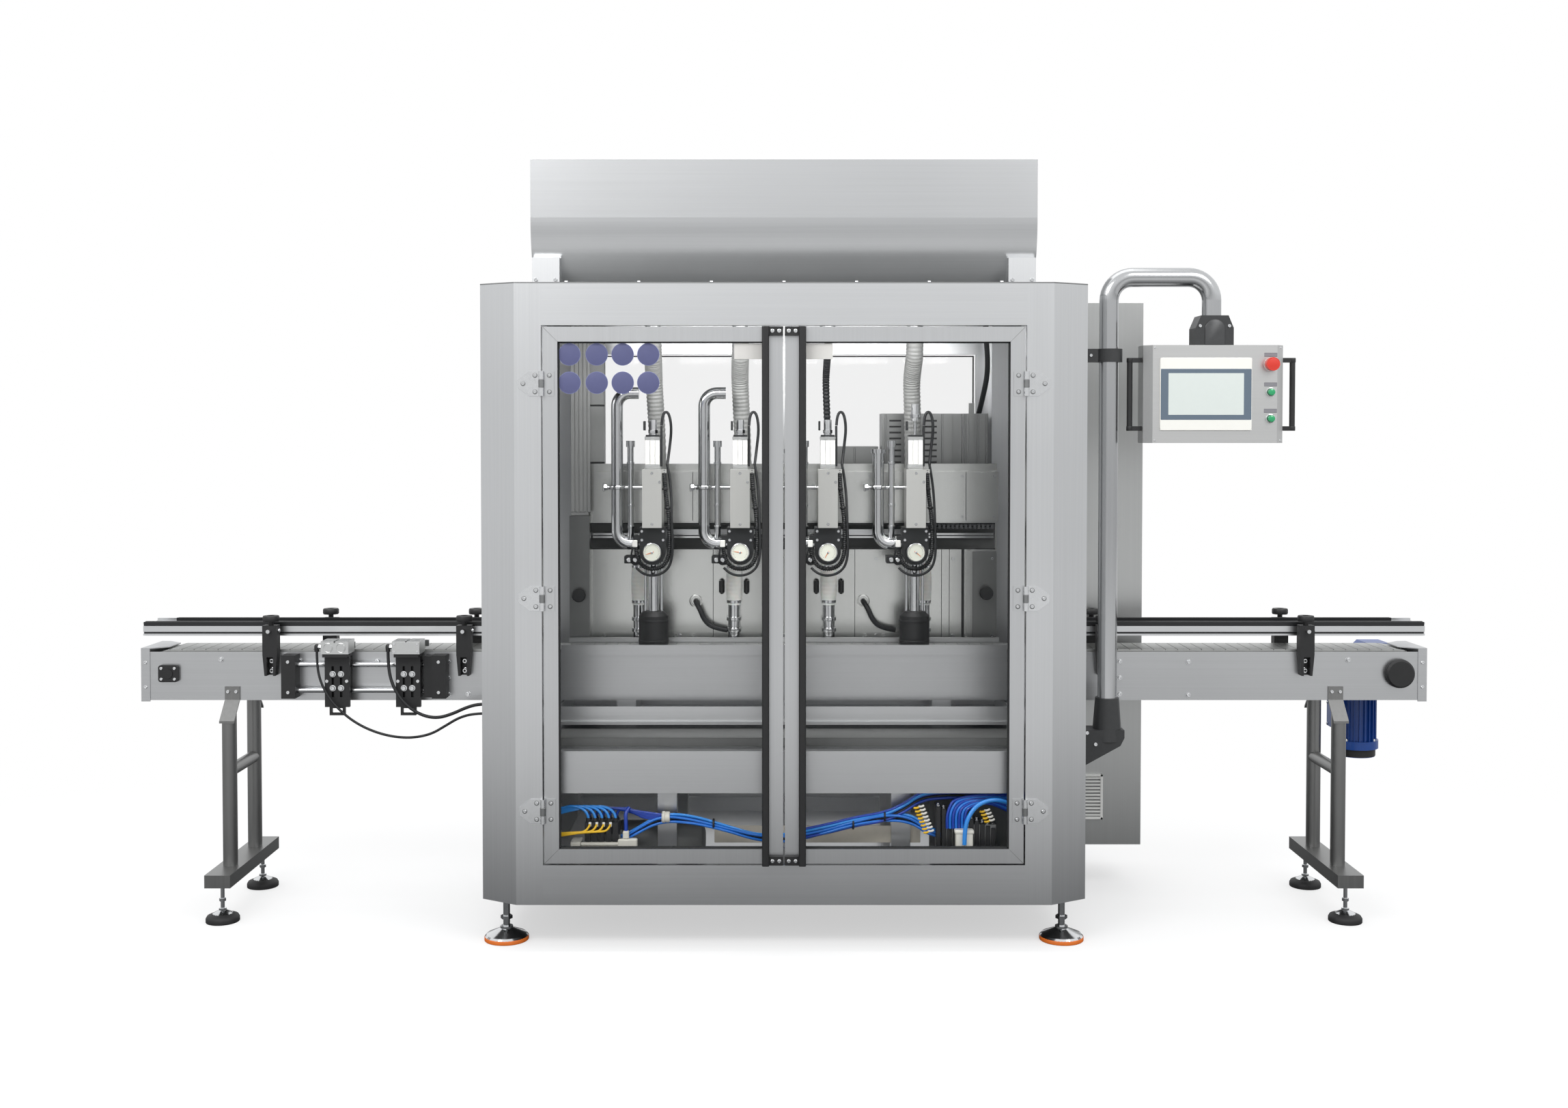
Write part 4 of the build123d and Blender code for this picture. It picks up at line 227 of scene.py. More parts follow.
def curve_along(name, points, radius, coat, body="machine", slot=None):
    """A round tube along a NURBS line of order 3 whose control points are the given points."""
    line = bpy.data.curves.new(name, "CURVE")
    line.dimensions = "3D"
    line.bevel_depth = radius
    line.bevel_resolution = 3
    line.resolution_u = 6
    line.use_fill_caps = True
    spline = line.splines.new("NURBS")
    spline.points.add(len(points) - 1)
    spline.points.foreach_set("co", [v for p in points for v in (*p, 1.0)])
    spline.order_u = 3
    spline.use_endpoint_u = True
    made = bpy.data.objects.new(name, line)
    scene.collection.objects.link(made)
    return place_piece(made, coat, body)


# The tube cuts its control line's corners, so a cord is a little shorter than the line.
for name, points, radius, node in (
        ("front_stopper_cable", front_points, 0.004, "stopper_cable_front"),
        ("rear_stopper_cable", rear_points, 0.005, "stopper_cable_rear")):
    piece = curve_along(name, points, radius, rubber_jacket)
    line = float(np.linalg.norm(np.diff(np.array(points), axis=0), axis=1).sum())
    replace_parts(piece, node)

# Cabinet shell
# Columns, beams and panels are folded from 3 mm stainless sheet with a satin finish, brushed
# along each piece's length, with corners welded and ground flush. Cap screws hold the roof.


def finish_node(coat, *names):
    """Gives the material slots of solids the named finish."""
    for name in names:
        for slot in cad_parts[name].material_slots:
            slot.material = coat


# Satin stainless: parallel brush lines that blur reflections. Real lines are 0.1 mm apart and
# are drawn 4 mm apart here and on the other brushed pieces, so that they show.
upright = (240.0, 240.0, 1.5)
steel_along_x = paint("brushed_stainless_along_x", "#d3d4d5", 0.34, 1.0,
                      grain=(1.5, 240.0, 240.0), spread=0.05)
finish_node(steel_along_x, "cabinet_beams", "base_frame")
finish_node(paint("brushed_stainless_upright", "#d3d4d5", 0.34, 1.0, grain=upright, spread=0.05),
            "corner_columns", "side_panels")
# The roof's dull dark grey is painted shade: the trough's round bottom mirrors the roof and so
# darkens where it meets it. The same grey serves dark seams and hinges elsewhere.
dull_grey_and_shade = paint("dull_grey_sheet_and_painted_shade", "#8f9090", 0.5, 1.0, spread=0.06, cloud=0.1,
                    slot="dark_paint")
finish_node(dull_grey_and_shade, "roof_panel")


def surfaces(name, grids, coat, body="machine", slot=None, at=(0.0,), loop=False, sharp=40.0):
    """One mesh from grids of points (copies, stations, points round, 3), repeated at each x of
    at. Quads join each point to the next one round and to the next station. A flat face closes
    each end, or with loop the last station joins the first. The sign of the enclosed volume
    turns the faces outwards."""
    grids = np.asarray(grids, float)
    grids = grids[None] if grids.ndim == 3 else grids
    grids = np.concatenate([grids + (x, 0.0, 0.0) for x in at])
    copies, stations, around = grids.shape[:3]
    index = np.arange(copies * stations * around).reshape(copies, stations, around)
    low, high = (index, np.roll(index, -1, 1)) if loop else (index[:, :-1], index[:, 1:])
    quads = np.stack([low, np.roll(low, -1, 2), np.roll(high, -1, 2), high], -1).reshape(-1, 4)
    ends = index[:0, 0] if loop else np.concatenate([index[:, 0, ::-1], index[:, -1]])
    flat = grids.reshape(-1, 3)

    def enclosed(triangles):
        a, b, c = flat[triangles[:, 0]], flat[triangles[:, 1]], flat[triangles[:, 2]]
        return np.einsum("ij,ij->i", a - flat[0], np.cross(b - flat[0], c - flat[0])).sum()

    volume = enclosed(quads[:, [0, 1, 2]]) + enclosed(quads[:, [0, 2, 3]])
    volume += sum(enclosed(ends[:, [0, i, i + 1]]) for i in range(1, around - 1))
    if volume < 0:
        quads, ends = quads[:, ::-1], ends[:, ::-1]
    made = mesh_piece(name, flat, quads.tolist() + ends.tolist(), sharp)
    return place_piece(made, coat, body)


def turned(name, coat, profile, places, axis="z", around=20, **where):
    """A profile of (radius, height) turned round an axis, once at each place."""
    radius, height = np.array(profile, float).T
    angle = np.linspace(0.0, 2.0 * np.pi, around, endpoint=False)
    rings = np.stack([np.outer(radius, np.cos(angle)), np.outer(radius, np.sin(angle)),
                      np.outer(height, np.ones(around))], -1)
    rings = rings[..., {"z": [0, 1, 2], "x": [2, 0, 1], "y": [0, 2, 1]}[axis]]
    grids = rings[None] + np.asarray(places, float).reshape(-1, 1, 1, 3)
    return surfaces(name, grids, coat, **where)


def bars(name, coat, boxes, edge=0.001, **where):
    """Boxes (x0, x1, y0, y1, z0, z1) with every edge cut by edge: an eight-cornered outline is
    carried up through four heights and drawn in by the cut at the first and the last."""
    boxes = np.asarray(boxes, float).reshape(-1, 6)
    side_x, in_x = np.array([0, 1, 1, 1, 1, 0, 0, 0]), np.array([1, 1, 0, 0, 1, 1, 0, 0])
    side_y, in_y = np.array([0, 0, 0, 1, 1, 1, 1, 0]), np.array([0, 0, 1, 1, 0, 0, 1, 1])
    draw = np.array([1, 0, 0, 1])[:, None] * edge
    x = boxes[:, 0:2][:, side_x][:, None] + (1 - 2 * side_x) * (in_x * edge + draw)
    y = boxes[:, 2:4][:, side_y][:, None] + (1 - 2 * side_y) * (in_y * edge + draw)
    z = boxes[:, [4, 4, 5, 5]] + np.array([0, 1, -1, 0]) * edge
    grids = np.stack([x, y, np.broadcast_to(z[:, :, None], x.shape)], -1)
    return surfaces(name, grids, coat, **where)


def spots(xs, ys, zs):
    """Every place that has one of the given coordinates, or the only one, on each axis."""
    return np.stack([c.ravel() for c in np.meshgrid(xs, ys, zs, indexing="ij")], -1)


def pair(centres, reach):
    """Two values for each centre, at the same reach to either side of it."""
    return [c + s * reach for c in np.atleast_1d(centres) for s in (-1, 1)]


# Turned stainless screws: bright rims and a dark socket.
bright_screw = paint("turned_stainless_screw", "#d9dadb", 0.2, 1.0, spread=0.05,
                     slot="bright_steel")


def screws(name, places, radius, tall, axis="y", around=14, out=-1.0, coat=bright_screw, **where):
    """Cap screws: a cheese head with a cut edge and a socket in its end, which faces out."""
    head = [(radius, 0.0), (radius, out * tall * 0.75), (radius * 0.85, out * tall),
            (radius * 0.48, out * tall), (radius * 0.42, out * tall * 0.45)]
    return turned(name, coat, head, places, axis, around, **where)


def border(x0, x1, z0, z1, lip):
    """Four strips (u0, u1, v0, v1) just inside the edges of a rectangle, lip wide."""
    return np.array([(x0, x1, z0, z0 + lip), (x0, x1, z1 - lip, z1), (x0, x0 + lip, z0, z1),
                     (x1 - lip, x1, z0, z1)])


# EPDM profile: dull black rubber, pushed on sheet edges and round glass.
gasket = paint("extruded_gasket_rubber", "#202122", 0.7, bump=(700.0, 0.0002), spread=0.2,
               slot="cable_jacket")
panel_x, roof_top = 0.9, 1.964
for name, side in (("left", -1), ("right", 1)):
    places = [spots(side * panel_x, pair(0, 0.372), (0.19, 0.76, 1.33, 1.9)),
              spots(side * panel_x, pair(0, 0.13), (0.19, 1.9))]
    screws(f"{name}_panel_screws", np.concatenate(places), 0.006, 0.0035, "x", 12, side)
    trim = np.insert(border(-0.1515, 0.1515, 0.6295, 1.2415, 0.005), [0, 0],
                     sorted((side * 0.8955, side * 0.9022)), 1)
    bars(f"portal_trim_{name}", gasket, trim, 0.0008)
screws("roof_screws", spots(np.linspace(-0.64, 0.64, 7), pair(0, 0.43), roof_top), 0.006, 0.006,
       "z", 12, 1.0)

# Hinges
# Three pointed steel hinges on each side, a leaf screwed to the column and one to the door,
# with five cap screws each, three in the column and two in the door.


def band(inner, outer, tall, cut=0.001):
    """Profile of a ring whose rims are cut from the outer radius down to the inner one."""
    return [(inner, 0.0), (outer, cut), (outer, tall - cut), (inner, tall)]


# Cast hinge steel: bead-blasted and then polished by hand, brighter than the sheet.
cast_grain = (90.0, 90.0, 90.0)
finish_node(paint("polished_cast_hinge_steel", "#dfe0e1", 0.24, 1.0, grain=cast_grain, spread=0.06),
            "post_hinge_leaves")
# Bead-blasted barrel: duller and darker than the leaves, with an even sheen.
barrel_steel = paint("bead_blasted_barrel", "#8a8b8b", 0.4, 1.0, grain=cast_grain, spread=0.06,
                     slot="bright_steel")
hinge_zs = (0.409, 1.037, 1.667)
leaf_front = -0.463
post_screws = np.concatenate([spots(pair(0, 0.728), leaf_front, pair(hinge_zs, 0.024)),
                              spots(pair(0, 0.763), leaf_front, hinge_zs)])
# Round each hinge screw a thin dull grey ring lies on the leaf: painted shade, as of a recess round
# the screw head.
screw_shade = [(0.0074, 0.0), (0.0074, -0.0005), (0.0066, -0.0007)]
screws("column_hinge_screws", post_screws, 0.0052, 0.0026)
turned("column_screw_shade_rings", dull_grey_and_shade, screw_shade, post_screws, "y", 16)
doors = ((-1, "left_door"), (1, "right_door"))
for side, door in doors:
    door_screws = spots(side * 0.686, leaf_front, pair(hinge_zs, 0.024))
    screws(f"{door}_hinge_screws", door_screws, 0.0045, 0.0024, body=door)
    turned(f"{door}_screw_shade_rings", dull_grey_and_shade, screw_shade, door_screws, "y", 16, body=door)
    turned(f"{door}_hinge_barrels", barrel_steel, band(0.0081, 0.0086, 0.0226, 0.0005),
           spots(side * 0.7085, -0.4695, np.array(hinge_zs) - 0.0113), around=24, body=door)

# Doors and windows
# Mitred frames of brushed stainless box section round 5 mm clear glass in a black gasket. Full
# height grips of moulded black nylon meet in the middle, with two screws at each end of a grip.
# Brushed box section: a shade darker than the columns, with upright lines in its sheen.
finish_node(paint("brushed_stainless_frame", "#cbcccd", 0.32, 1.0, grain=upright, spread=0.05),
            "left_door_frame", "right_door_frame", "rear_window_frames")

# Moulded black nylon: matt with a spark-eroded grain. The real grain is 0.3 mm and is drawn 1 mm.
black_nylon = paint("moulded_black_nylon", "#1c1c1d", 0.5, bump=(1000.0, 0.0004), spread=0.25,
                    slot="black_plastic")
finish_node(black_nylon, "left_door_grip", "right_door_grip")

# Tempered glass: clear, faintly green, with a thin reflection of the room.
glass, tree, shader = new_material("tempered_glass")
shader.inputs["Base Color"].default_value = linear("#20282a")
shader.inputs["Roughness"].default_value = 0.03
shader.inputs["IOR"].default_value = 1.5
shader.inputs["Alpha"].default_value = 0.035
place = add(tree, "ShaderNodeTexCoord").outputs["Object"]
wipe = add(tree, "ShaderNodeTexNoise", {"Vector": place, "Scale": 3.0}).outputs[0]
haze = add(tree, "ShaderNodeMapRange", {0: wipe, 1: 0.3, 2: 0.7, 3: 0.02, 4: 0.08})
tree.links.new(haze.outputs[0], shader.inputs["Roughness"])
finish_node(glass, "left_door_pane", "right_door_pane", "rear_window_panes")

# The gasket shows as a black lip 4 mm wide, on both sides of the glass.
lips = np.insert(border(0.0455, 0.663, 0.296, 1.79, 0.004), [2, 2], 0.0, 1)
for side, door in doors:
    for face, ys in (("front", (-0.4505, -0.4477)), ("back", (-0.4423, -0.4395))):
        boxes = lips.copy()
        boxes[:, 2:4] = ys
        if side < 0:
            boxes[:, :2] = -boxes[:, 1::-1]
        bars(f"{door}_gasket_{face}", gasket, boxes, 0.0006, body=door)
        boxes[:, 2:4] = -ys[1], -ys[0]
        boxes[:, :2] -= side * 0.0015
        bars(f"rear_gasket_{face}_{side + 1}", gasket, boxes, 0.0006)
    screws(f"{door}_grip_screws", spots((side * 0.014, side * 0.034), -0.482, (0.266, 1.82)),
           0.0058, 0.0024, around=16, body=door)


def needles(name, coat, places, angles, inner, outer, wide, y0, y1, **where):
    """Flat bars that point out from each place at an angle, from inner to outer radius: corners
    are the sum of the pointing direction and its square direction, at two depths."""
    places, angles = np.asarray(places, float), np.radians(angles)
    along = np.stack([np.sin(angles), np.zeros_like(angles), np.cos(angles)], -1)
    square = np.stack([np.cos(angles), np.zeros_like(angles), -np.sin(angles)], -1)
    flat = np.stack([places + inner * along - wide * square, places + inner * along + wide * square,
                     places + outer * along + wide * 0.5 * square,
                     places + outer * along - wide * 0.5 * square], 1)
    return surfaces(name, np.stack([flat + (0, y0, 0), flat + (0, y1, 0)], 1), coat, **where)


# The welded mitres of the frames: a ground seam from each outer corner to the glass.
for side, door in doors:
    needles(f"{door}_mitre_seams", dull_grey_and_shade, spots(side * 0.7055, 0.0, (0.2535, 1.8325)),
            np.array([-side * 45.0, -side * 135.0]), 0.001, 0.0605, 0.0006, -0.4599, -0.4602,
            body=door)

# The rear windows don't open: cap screws hold their frames.
window_screws = spots(pair(0, 0.024) + pair(0, 0.684), 0.46, (0.275, 0.66, 1.043, 1.426, 1.811))
screws("rear_window_screws", window_screws, 0.0058, 0.0035, out=1.0)

# Two plain plates hang behind the tops of the panes, and eight plain blue discs are stuck on the
# left one, as thin film.
# Vinyl film: an even violet-blue that lets a little light through, with a paler rim.
blue_film = paint("blue_vinyl_film", "#5a5d86", 0.45, spread=0.05, slot="motor_blue", Alpha=0.88)
film_rim = paint("pale_vinyl_rim", "#7f84ab", 0.45, spread=0.05, slot="motor_blue")
# Matt plastic plate: pale warm grey, with hardly a reflection.
pale_plate = paint("matt_plastic_plate", "#d5d3cf", 0.45, spread=0.04, slot="screen_face")
discs = spots((-0.629, -0.549, -0.473, -0.398), -0.4479, (1.753, 1.67))
for name, coat, profile in (
        ("film_disc_rims", film_rim, [(0.033, 0.0), (0.033, -0.0003), (0.031, -0.0004)]),
        ("film_discs", blue_film, [(0.0318, -0.0002), (0.0318, -0.0006), (0.0312, -0.0008)])):
    turned(name, coat, profile, discs, "y", 40, body="left_door")
for name, x0, x1 in (("left", -0.146, -0.05), ("right", 0.05, 0.143)):
    bars(f"{name}_plain_plate", pale_plate, (x0, x1, -0.4492, -0.4479, 1.739, 1.785), 0.0004,
         body=f"{name}_door")

# Hopper and saddles
# The trough is rolled from one sheet and brushed lengthwise. Four folded saddles, brushed upright
# and brighter, carry it on the roof.
lengthwise = (1.2, 240.0, 240.0)
# Rolled sheet: long soft streaks along the trough, which blur the lamps' reflections.
finish_node(paint("rolled_stainless_sheet", "#c6c7c8", 0.3, 1.0, grain=lengthwise, spread=0.06),
            "hopper")
# Folded saddles: the palest steel on the roof, with upright lines.
finish_node(paint("folded_saddle_steel", "#e4e5e6", 0.34, 1.0, grain=upright, spread=0.04),
            "hopper_saddles")
for name, side in (("saddle_screws", -1), ("rear_saddle_screws", 1)):
    screws(name, spots(pair(0, 0.69) + pair(0, 0.749), side * 0.3, 1.985), 0.006, 0.0045, out=side)

# Conveyor
# Side plates folded from 3 mm stainless, a chain of flat steel slats polished by use, end covers
# screwed on through their flanges, and a black bearing plate and shaft cap.
# Brushed plate: long faint lines along the conveyor, a shade darker than the cabinet.
finish_node(paint("brushed_conveyor_plate", "#c3c4c5", 0.33, 1.0, grain=lengthwise, spread=0.06),
            "conveyor_side_plates", "conveyor_end_covers")
# The stands are welded from round and square tube, cleaned with a coarse brush, darker.
finish_node(paint("coarse_brushed_tube", "#8e8e8d", 0.38, 1.0, grain=(120.0, 120.0, 6.0),
                  spread=0.1, cloud=0.15), "leg_stands")
# Worn slats: the same steel, scuffed lengthwise by the containers, duller between the scratches.
finish_node(paint("scuffed_slat_steel", "#b4b5b3", 0.42, 1.0, grain=(30.0, 260.0, 60.0),
                  spread=0.16), "conveyor_chain")
finish_node(black_nylon, "shaft_covers")
# Ground shaft steel: bright, with small sharp reflections and no lines.
shaft_steel = paint("ground_shaft_steel", "#cfd0d1", 0.18, 1.0, grain=even_grain, spread=0.05,
                    slot="bright_steel")
finish_node(shaft_steel, "conveyor_shafts")

faces = (("near", -1), ("far", 1))
plate_face, washer_face = 0.085, 0.0866
plate_screws = np.array([
    (-1.786, 0.803), (-1.536, 0.8), (-1.289, 0.799), (-1.065, 0.797), (-1.065, 0.745),
    (-1.065, 0.693), (-1.003, 0.693), (1.065, 0.797), (1.065, 0.745), (1.065, 0.693),
    (1.283, 0.796), (1.283, 0.69), (1.79, 0.802)])
for face, side in faces:
    washer = [(0.0092, 0.0), (0.0092, side * 0.0012), (0.0088, side * 0.0016)]
    turned(f"{face}_plate_washers", shaft_steel, washer,
           np.insert(plate_screws, 1, side * plate_face, 1), "y", 18)
    screws(f"{face}_plate_screws", np.insert(plate_screws, 1, side * washer_face, 1),
           0.0065, 0.0055, out=side)
    screws(f"{face}_cover_screws", spots(pair(0, 2.025), side * 0.088, (0.716, 0.794)),
           0.0055, 0.003, out=side)
    screws(f"{face}_strap_screws", spots(pair(pair(0, 1.75), 0.013), side * 0.09, 0.702),
           0.0058, 0.005, out=side)
shaft_x, shaft_z = 1.95, 0.76
screws("bearing_screws", spots(pair(-shaft_x, 0.021), -0.099, pair(shaft_z, 0.017)),
       0.0048, 0.003)
turned("shaft_cap_rim", black_nylon, band(0.0453, 0.046, -0.011, -0.002),
       [(shaft_x, -0.0885, shaft_z)], "y", 48)

# Levelling feet
# Pressed steel cones, chromed, with a lock nut on each stud. The cabinet's feet stand on orange
# polyurethane pads, the stands' feet on black rubber ones.
# Chrome: bands of dark and light, because it mirrors the room and the floor.
chrome = paint("chromed_steel_foot", "#d2d3d4", 0.13, 1.0, spread=0.04, slot="bright_steel")
finish_node(chrome, "levelling_feet")
# Cast polyurethane: strong matt orange with a pitted skin. Its pits are drawn 2.5 mm wide.
orange_pad = paint("cast_polyurethane_pad", "#e0701c", 0.5, bump=(400.0, 0.0003), slot="stop_red")
# Moulded rubber: dull black with a grain of 2 mm, drawn coarser than it is.
black_pad = paint("moulded_rubber_pad", "#1d1d1e", 0.6, bump=(500.0, 0.0003), spread=0.2,
                  slot="black_plastic")
turned("cabinet_foot_pads", orange_pad,
       [(0.064, 0.0), (0.0662, 0.0012), (0.0662, 0.0105), (0.0645, 0.0126)],
       spots(pair(0, 0.834), pair(0, 0.37), 0.0), around=48)
turned("stand_foot_pads", black_pad,
       [(0.049, 0.0), (0.051, 0.0012), (0.051, 0.012), (0.047, 0.019), (0.03, 0.0262)],
       spots(pair(0, 1.75), pair(0, 0.1925), 0.0), around=40)

# Gear motor
# Cast aluminium housings under blue enamel, with a black pressed fan cowl. Four screws hold the
# lid of the terminal box, and four the motor's end shield.
# Sprayed enamel: deep blue with a thin gloss over the skin of the casting.
motor_blue = paint("sprayed_motor_enamel", "#0d4596", 0.35, bump=(220.0, 0.0003), spread=0.15,
                   slot="motor_blue", Coat_Weight=0.2)
finish_node(motor_blue, "gear_motor")
motor_x, motor_y = 1.9, 0.153
turned("fan_cowl", black_nylon,
       [(0.048, -0.0008), (0.061, 0.0), (0.0632, 0.0025), (0.0632, 0.0282), (0.06, 0.029)],
       [(motor_x, motor_y, 0.452)], around=40)
screws("terminal_lid_screws", spots(1.816, pair(motor_y, 0.028), pair(0.587, 0.035)),
       0.004, 0.003, "x", 12)
shield = 0.064 * math.sqrt(0.5)
screws("shield_screws", spots(pair(motor_x, shield), pair(motor_y, shield), 0.506),
       0.005, 0.006, "z", 12, 1.0)

# Guide rails and brackets
# Extruded aluminium rails, clear anodised, each holding a black wear strip that faces the
# containers. Moulded nylon brackets clamp the rails' rods by a hand knob each.
# Clear anodising: pale satin grey, with fine lines along the extrusion.
anodised = paint("clear_anodised_aluminium", "#d6d7d8", 0.3, 1.0, grain=(2.0, 260.0, 260.0),
                 spread=0.05)
finish_node(anodised, "near_rail_left", "near_rail_right", "far_rail_left", "far_rail_right")
finish_node(black_nylon, "rail_brackets")
# Wear strip: extruded polyethylene with a waxy sheen and faint lengthwise rub marks. The same black
# paints the shade deep in each rail's groove.
wear_strip_and_groove_shade = paint("extruded_polyethylene_strip_and_groove_shade", "#17181a", 0.4, grain=(3.0, 300.0, 300.0),
                   spread=0.25, slot="black_plastic")
for rail, side, x0, x1 in (("near_rail_left", -1, -2.038, -0.907),
                           ("near_rail_right", -1, 0.907, 2.038),
                           ("far_rail_left", 1, -1.975, -0.907),
                           ("far_rail_right", 1, 0.907, 1.975)):
    # The first two boxes are the wear strip's face and top; the third, a thin black line deep in the
    # groove, is painted shade.
    bars(f"{rail}_strip", wear_strip_and_groove_shade,
         [(x0, x1, *sorted((side * near, side * far)), z0, z1) for near, far, z0, z1 in (
             (0.0444, 0.0532, 0.8752, 0.9212), (0.0622, 0.0657, 0.9078, 0.9206),
             (0.0616, 0.0626, 0.883, 0.889))], 0.0004, body=rail)
bracket_xs = ((-1.621, -1.01, 1.01, 1.649), (-1.489, -1.01, 1.01, 1.63))
bolt_zs = (0.77, 0.801)
for (face, side), xs in zip(faces, bracket_xs):
    washer = [(0.0098, 0.0), (0.0098, side * 0.0014), (0.0093, side * 0.0018)]
    turned(f"{face}_bracket_washers", shaft_steel, washer, spots(xs, side * 0.0935, bolt_zs), "y",
           18)
    screws(f"{face}_bracket_bolts", spots(xs, side * 0.095, bolt_zs), 0.0078, 0.0062, out=side)
    turned(f"{face}_knob_grips", black_nylon,
           [(0.0246, 0.0012), (0.0256, 0.0035), (0.0256, 0.0145), (0.0236, 0.0176),
            (0.012, 0.0186), (0.011, 0.018)], spots(xs, side * 0.102, 0.927), around=28)
    screws(f"{face}_bracket_clamp_screws", spots(np.array(xs) + 0.023, side * 0.102, 0.898),
           0.006, 0.005, "x", 12, 1.0)

# Container stoppers
# Two twin-rod air cylinders of anodised aluminium on slotted black carriers. The carriers slide
# on two ground steel rods between end blocks, and cap screws clamp them.
finish_node(black_nylon, "stopper_slide")
# Machined aluminium: pale, with faint tool lines along each cylinder's stroke.
cylinder_aluminium = paint("machined_cylinder_aluminium", "#cfd0cf", 0.3, 1.0,
                           grain=(240.0, 4.0, 240.0), spread=0.05, slot="aluminium")
finish_node(cylinder_aluminium, "stopper_cylinders")
finish_node(shaft_steel, "stopper_front", "stopper_rear")
carriers = front_x, rear_x = (-1.402, -1.179)
carrier_face, carrier_z, cylinder_z = -0.145, 0.744, 0.852
for i, (x0, x1) in enumerate(((-1.536, -1.4405), (-1.3635, -1.2175), (-1.1405, -1.133))):
    turned(f"slide_rods_{i}", shaft_steel, [(0.0083, x0), (0.0083, x1)],
           spots(0, -0.111, (0.71, 0.791)), "x")
turned("carrier_screws", bright_screw,
       [(0.0098, 0.0), (0.0098, -0.0015), (0.0072, -0.0018), (0.0072, -0.0062),
        (0.0062, -0.0078), (0.0034, -0.0078), (0.003, -0.0042)],
       spots(pair(carriers, 0.013), carrier_face, pair(carrier_z, 0.022)), "y", 18)
edge_screws = [spots(pair(carriers, 0.031), carrier_face, carrier_z),
               spots((-1.558, -1.085), -0.137, (0.707, 0.803))]
screws("slide_edge_screws", np.concatenate(edge_screws), 0.0058, 0.0042)
turned("cylinder_end_caps", cylinder_aluminium,
       [(0.015, 0.0), (0.015, -0.0012), (0.0142, -0.0016), (0.013, -0.001), (0.0124, -0.0016)],
       spots(pair(front_x, 0.02), -0.171, cylinder_z), "y", 32)
screws("tail_screws", spots(pair(rear_x, 0.036), -0.177, pair(cylinder_z, 0.012)), 0.0034, 0.002,
       around=12)
bars("cylinder_seams", black_nylon,
     [(x - 0.0425, x + 0.0425, y - 0.0006, y + 0.0006, 0.8716, 0.8722) for x in carriers
      for y in (-0.159, -0.109)], 0.0002)
for name, x, gland_y, gland_z in (("front", -1.463, -0.171, 0.647), ("rear", -1.24, -0.18, 0.678)):
    turned(f"fitting_{name}", black_nylon,
           [(0.0072, -0.0145), (0.0072, -0.006), (0.0078, -0.0055), (0.0078, 0.002),
            (0.006, 0.007), (0.003, 0.0092)], [(x, -0.15, cylinder_z)], around=18)
    turned(f"fitting_nut_{name}", shaft_steel,
           [(0.007, 0.004), (0.0076, 0.006), (0.0076, 0.013), (0.007, 0.0178)],
           [(x, -0.15, cylinder_z)], "x", 6)
    turned(f"gland_nut_{name}", black_nylon,
           [(0.0112, -0.9125), (0.0122, -0.911), (0.0122, -0.9035), (0.0112, -0.9005)],
           [(0, gland_y, gland_z)], "x", 6)

# Bed, tray and deck
# Welded and folded stainless inside the cabinet: the bed on its legs, the drip tray round the
# conveyor, and the deck with the product risers. A dark grey sheet on the bed's top is painted
# shade.
finish_node(steel_along_x, "machine_bed", "drip_tray", "rear_deck")
# Hammered paint: mid grey with soft dimples 4 mm wide. On the bed's top it is painted shade.
grey_paint_and_shade_sheet = paint("hammered_grey_paint_and_shade", "#5c5d5c", 0.5, bump=(260.0, 0.0004), spread=0.08,
                      slot="dark_paint")
# Painted shade: a thin dark grey sheet over the bed's top and its upper front edge, where the drip
# tray shades the recess.
bars("bed_top_painted_shade", grey_paint_and_shade_sheet, [(-0.704, 0.704, -0.3325, -0.186, 0.6003, 0.6018),
                                       (-0.704, 0.704, -0.3325, -0.3303, 0.575, 0.6016)], 0.0003)
# Electropolished tube: nearly a mirror, with bright edges and dark middles.
riser_steel = paint("electropolished_tube", "#d6d7d8", 0.14, 1.0, spread=0.04, slot="bright_steel")
risers = spots((-0.478, -0.165, 0.148, 0.461), 0.126, 0.0)
collar = np.array([(0.0194, 0.0), (0.0242, 0.0012), (0.0248, 0.007), (0.0242, 0.013),
                   (0.0194, 0.0142)])
turned("riser_tubes", riser_steel, [(0.0194, 0.8155), *(collar + (0, 0.866)),
                                    *(collar + (0, 0.902)), (0.0194, 0.9552)], risers, around=28)
# Silicone: milky white with a soft shine, and light that sinks in a little.
milky = paint("milky_silicone_hose", "#e3e3de", 0.35, spread=0.05, slot="milky_hose",
              Subsurface_Weight=0.15)
rise = np.linspace(0.9555, 1.0915, 41)
bulge = 0.0222 + 0.0036 * np.sin(np.pi * (rise - 0.9555) / 0.136)
sleeve = np.stack([bulge + 0.0005 * np.sin(rise * 2 * np.pi / 0.0136), rise], 1)
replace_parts(turned("silicone_sleeves", milky, sleeve, risers, around=28), "riser_sleeves")
clamps = np.concatenate([risers + (0, 0, z) for z in (0.962, 1.078)])
turned("sleeve_clamps", riser_steel, band(0.0236, 0.0246, 0.009), clamps, around=28)
studs = [spots(pair((-0.33, 0.3), 0.03), 0.128, 0.815), spots((-0.6, -0.05, 0.6), 0.116, 0.815)]
turned("deck_studs", bright_screw,
       [(0.013, 0.0), (0.013, 0.004), (0.006, 0.0045), (0.006, 0.02), (0.0095, 0.0205),
        (0.0095, 0.029), (0.005, 0.0295), (0.005, 0.036)], np.concatenate(studs), around=16)

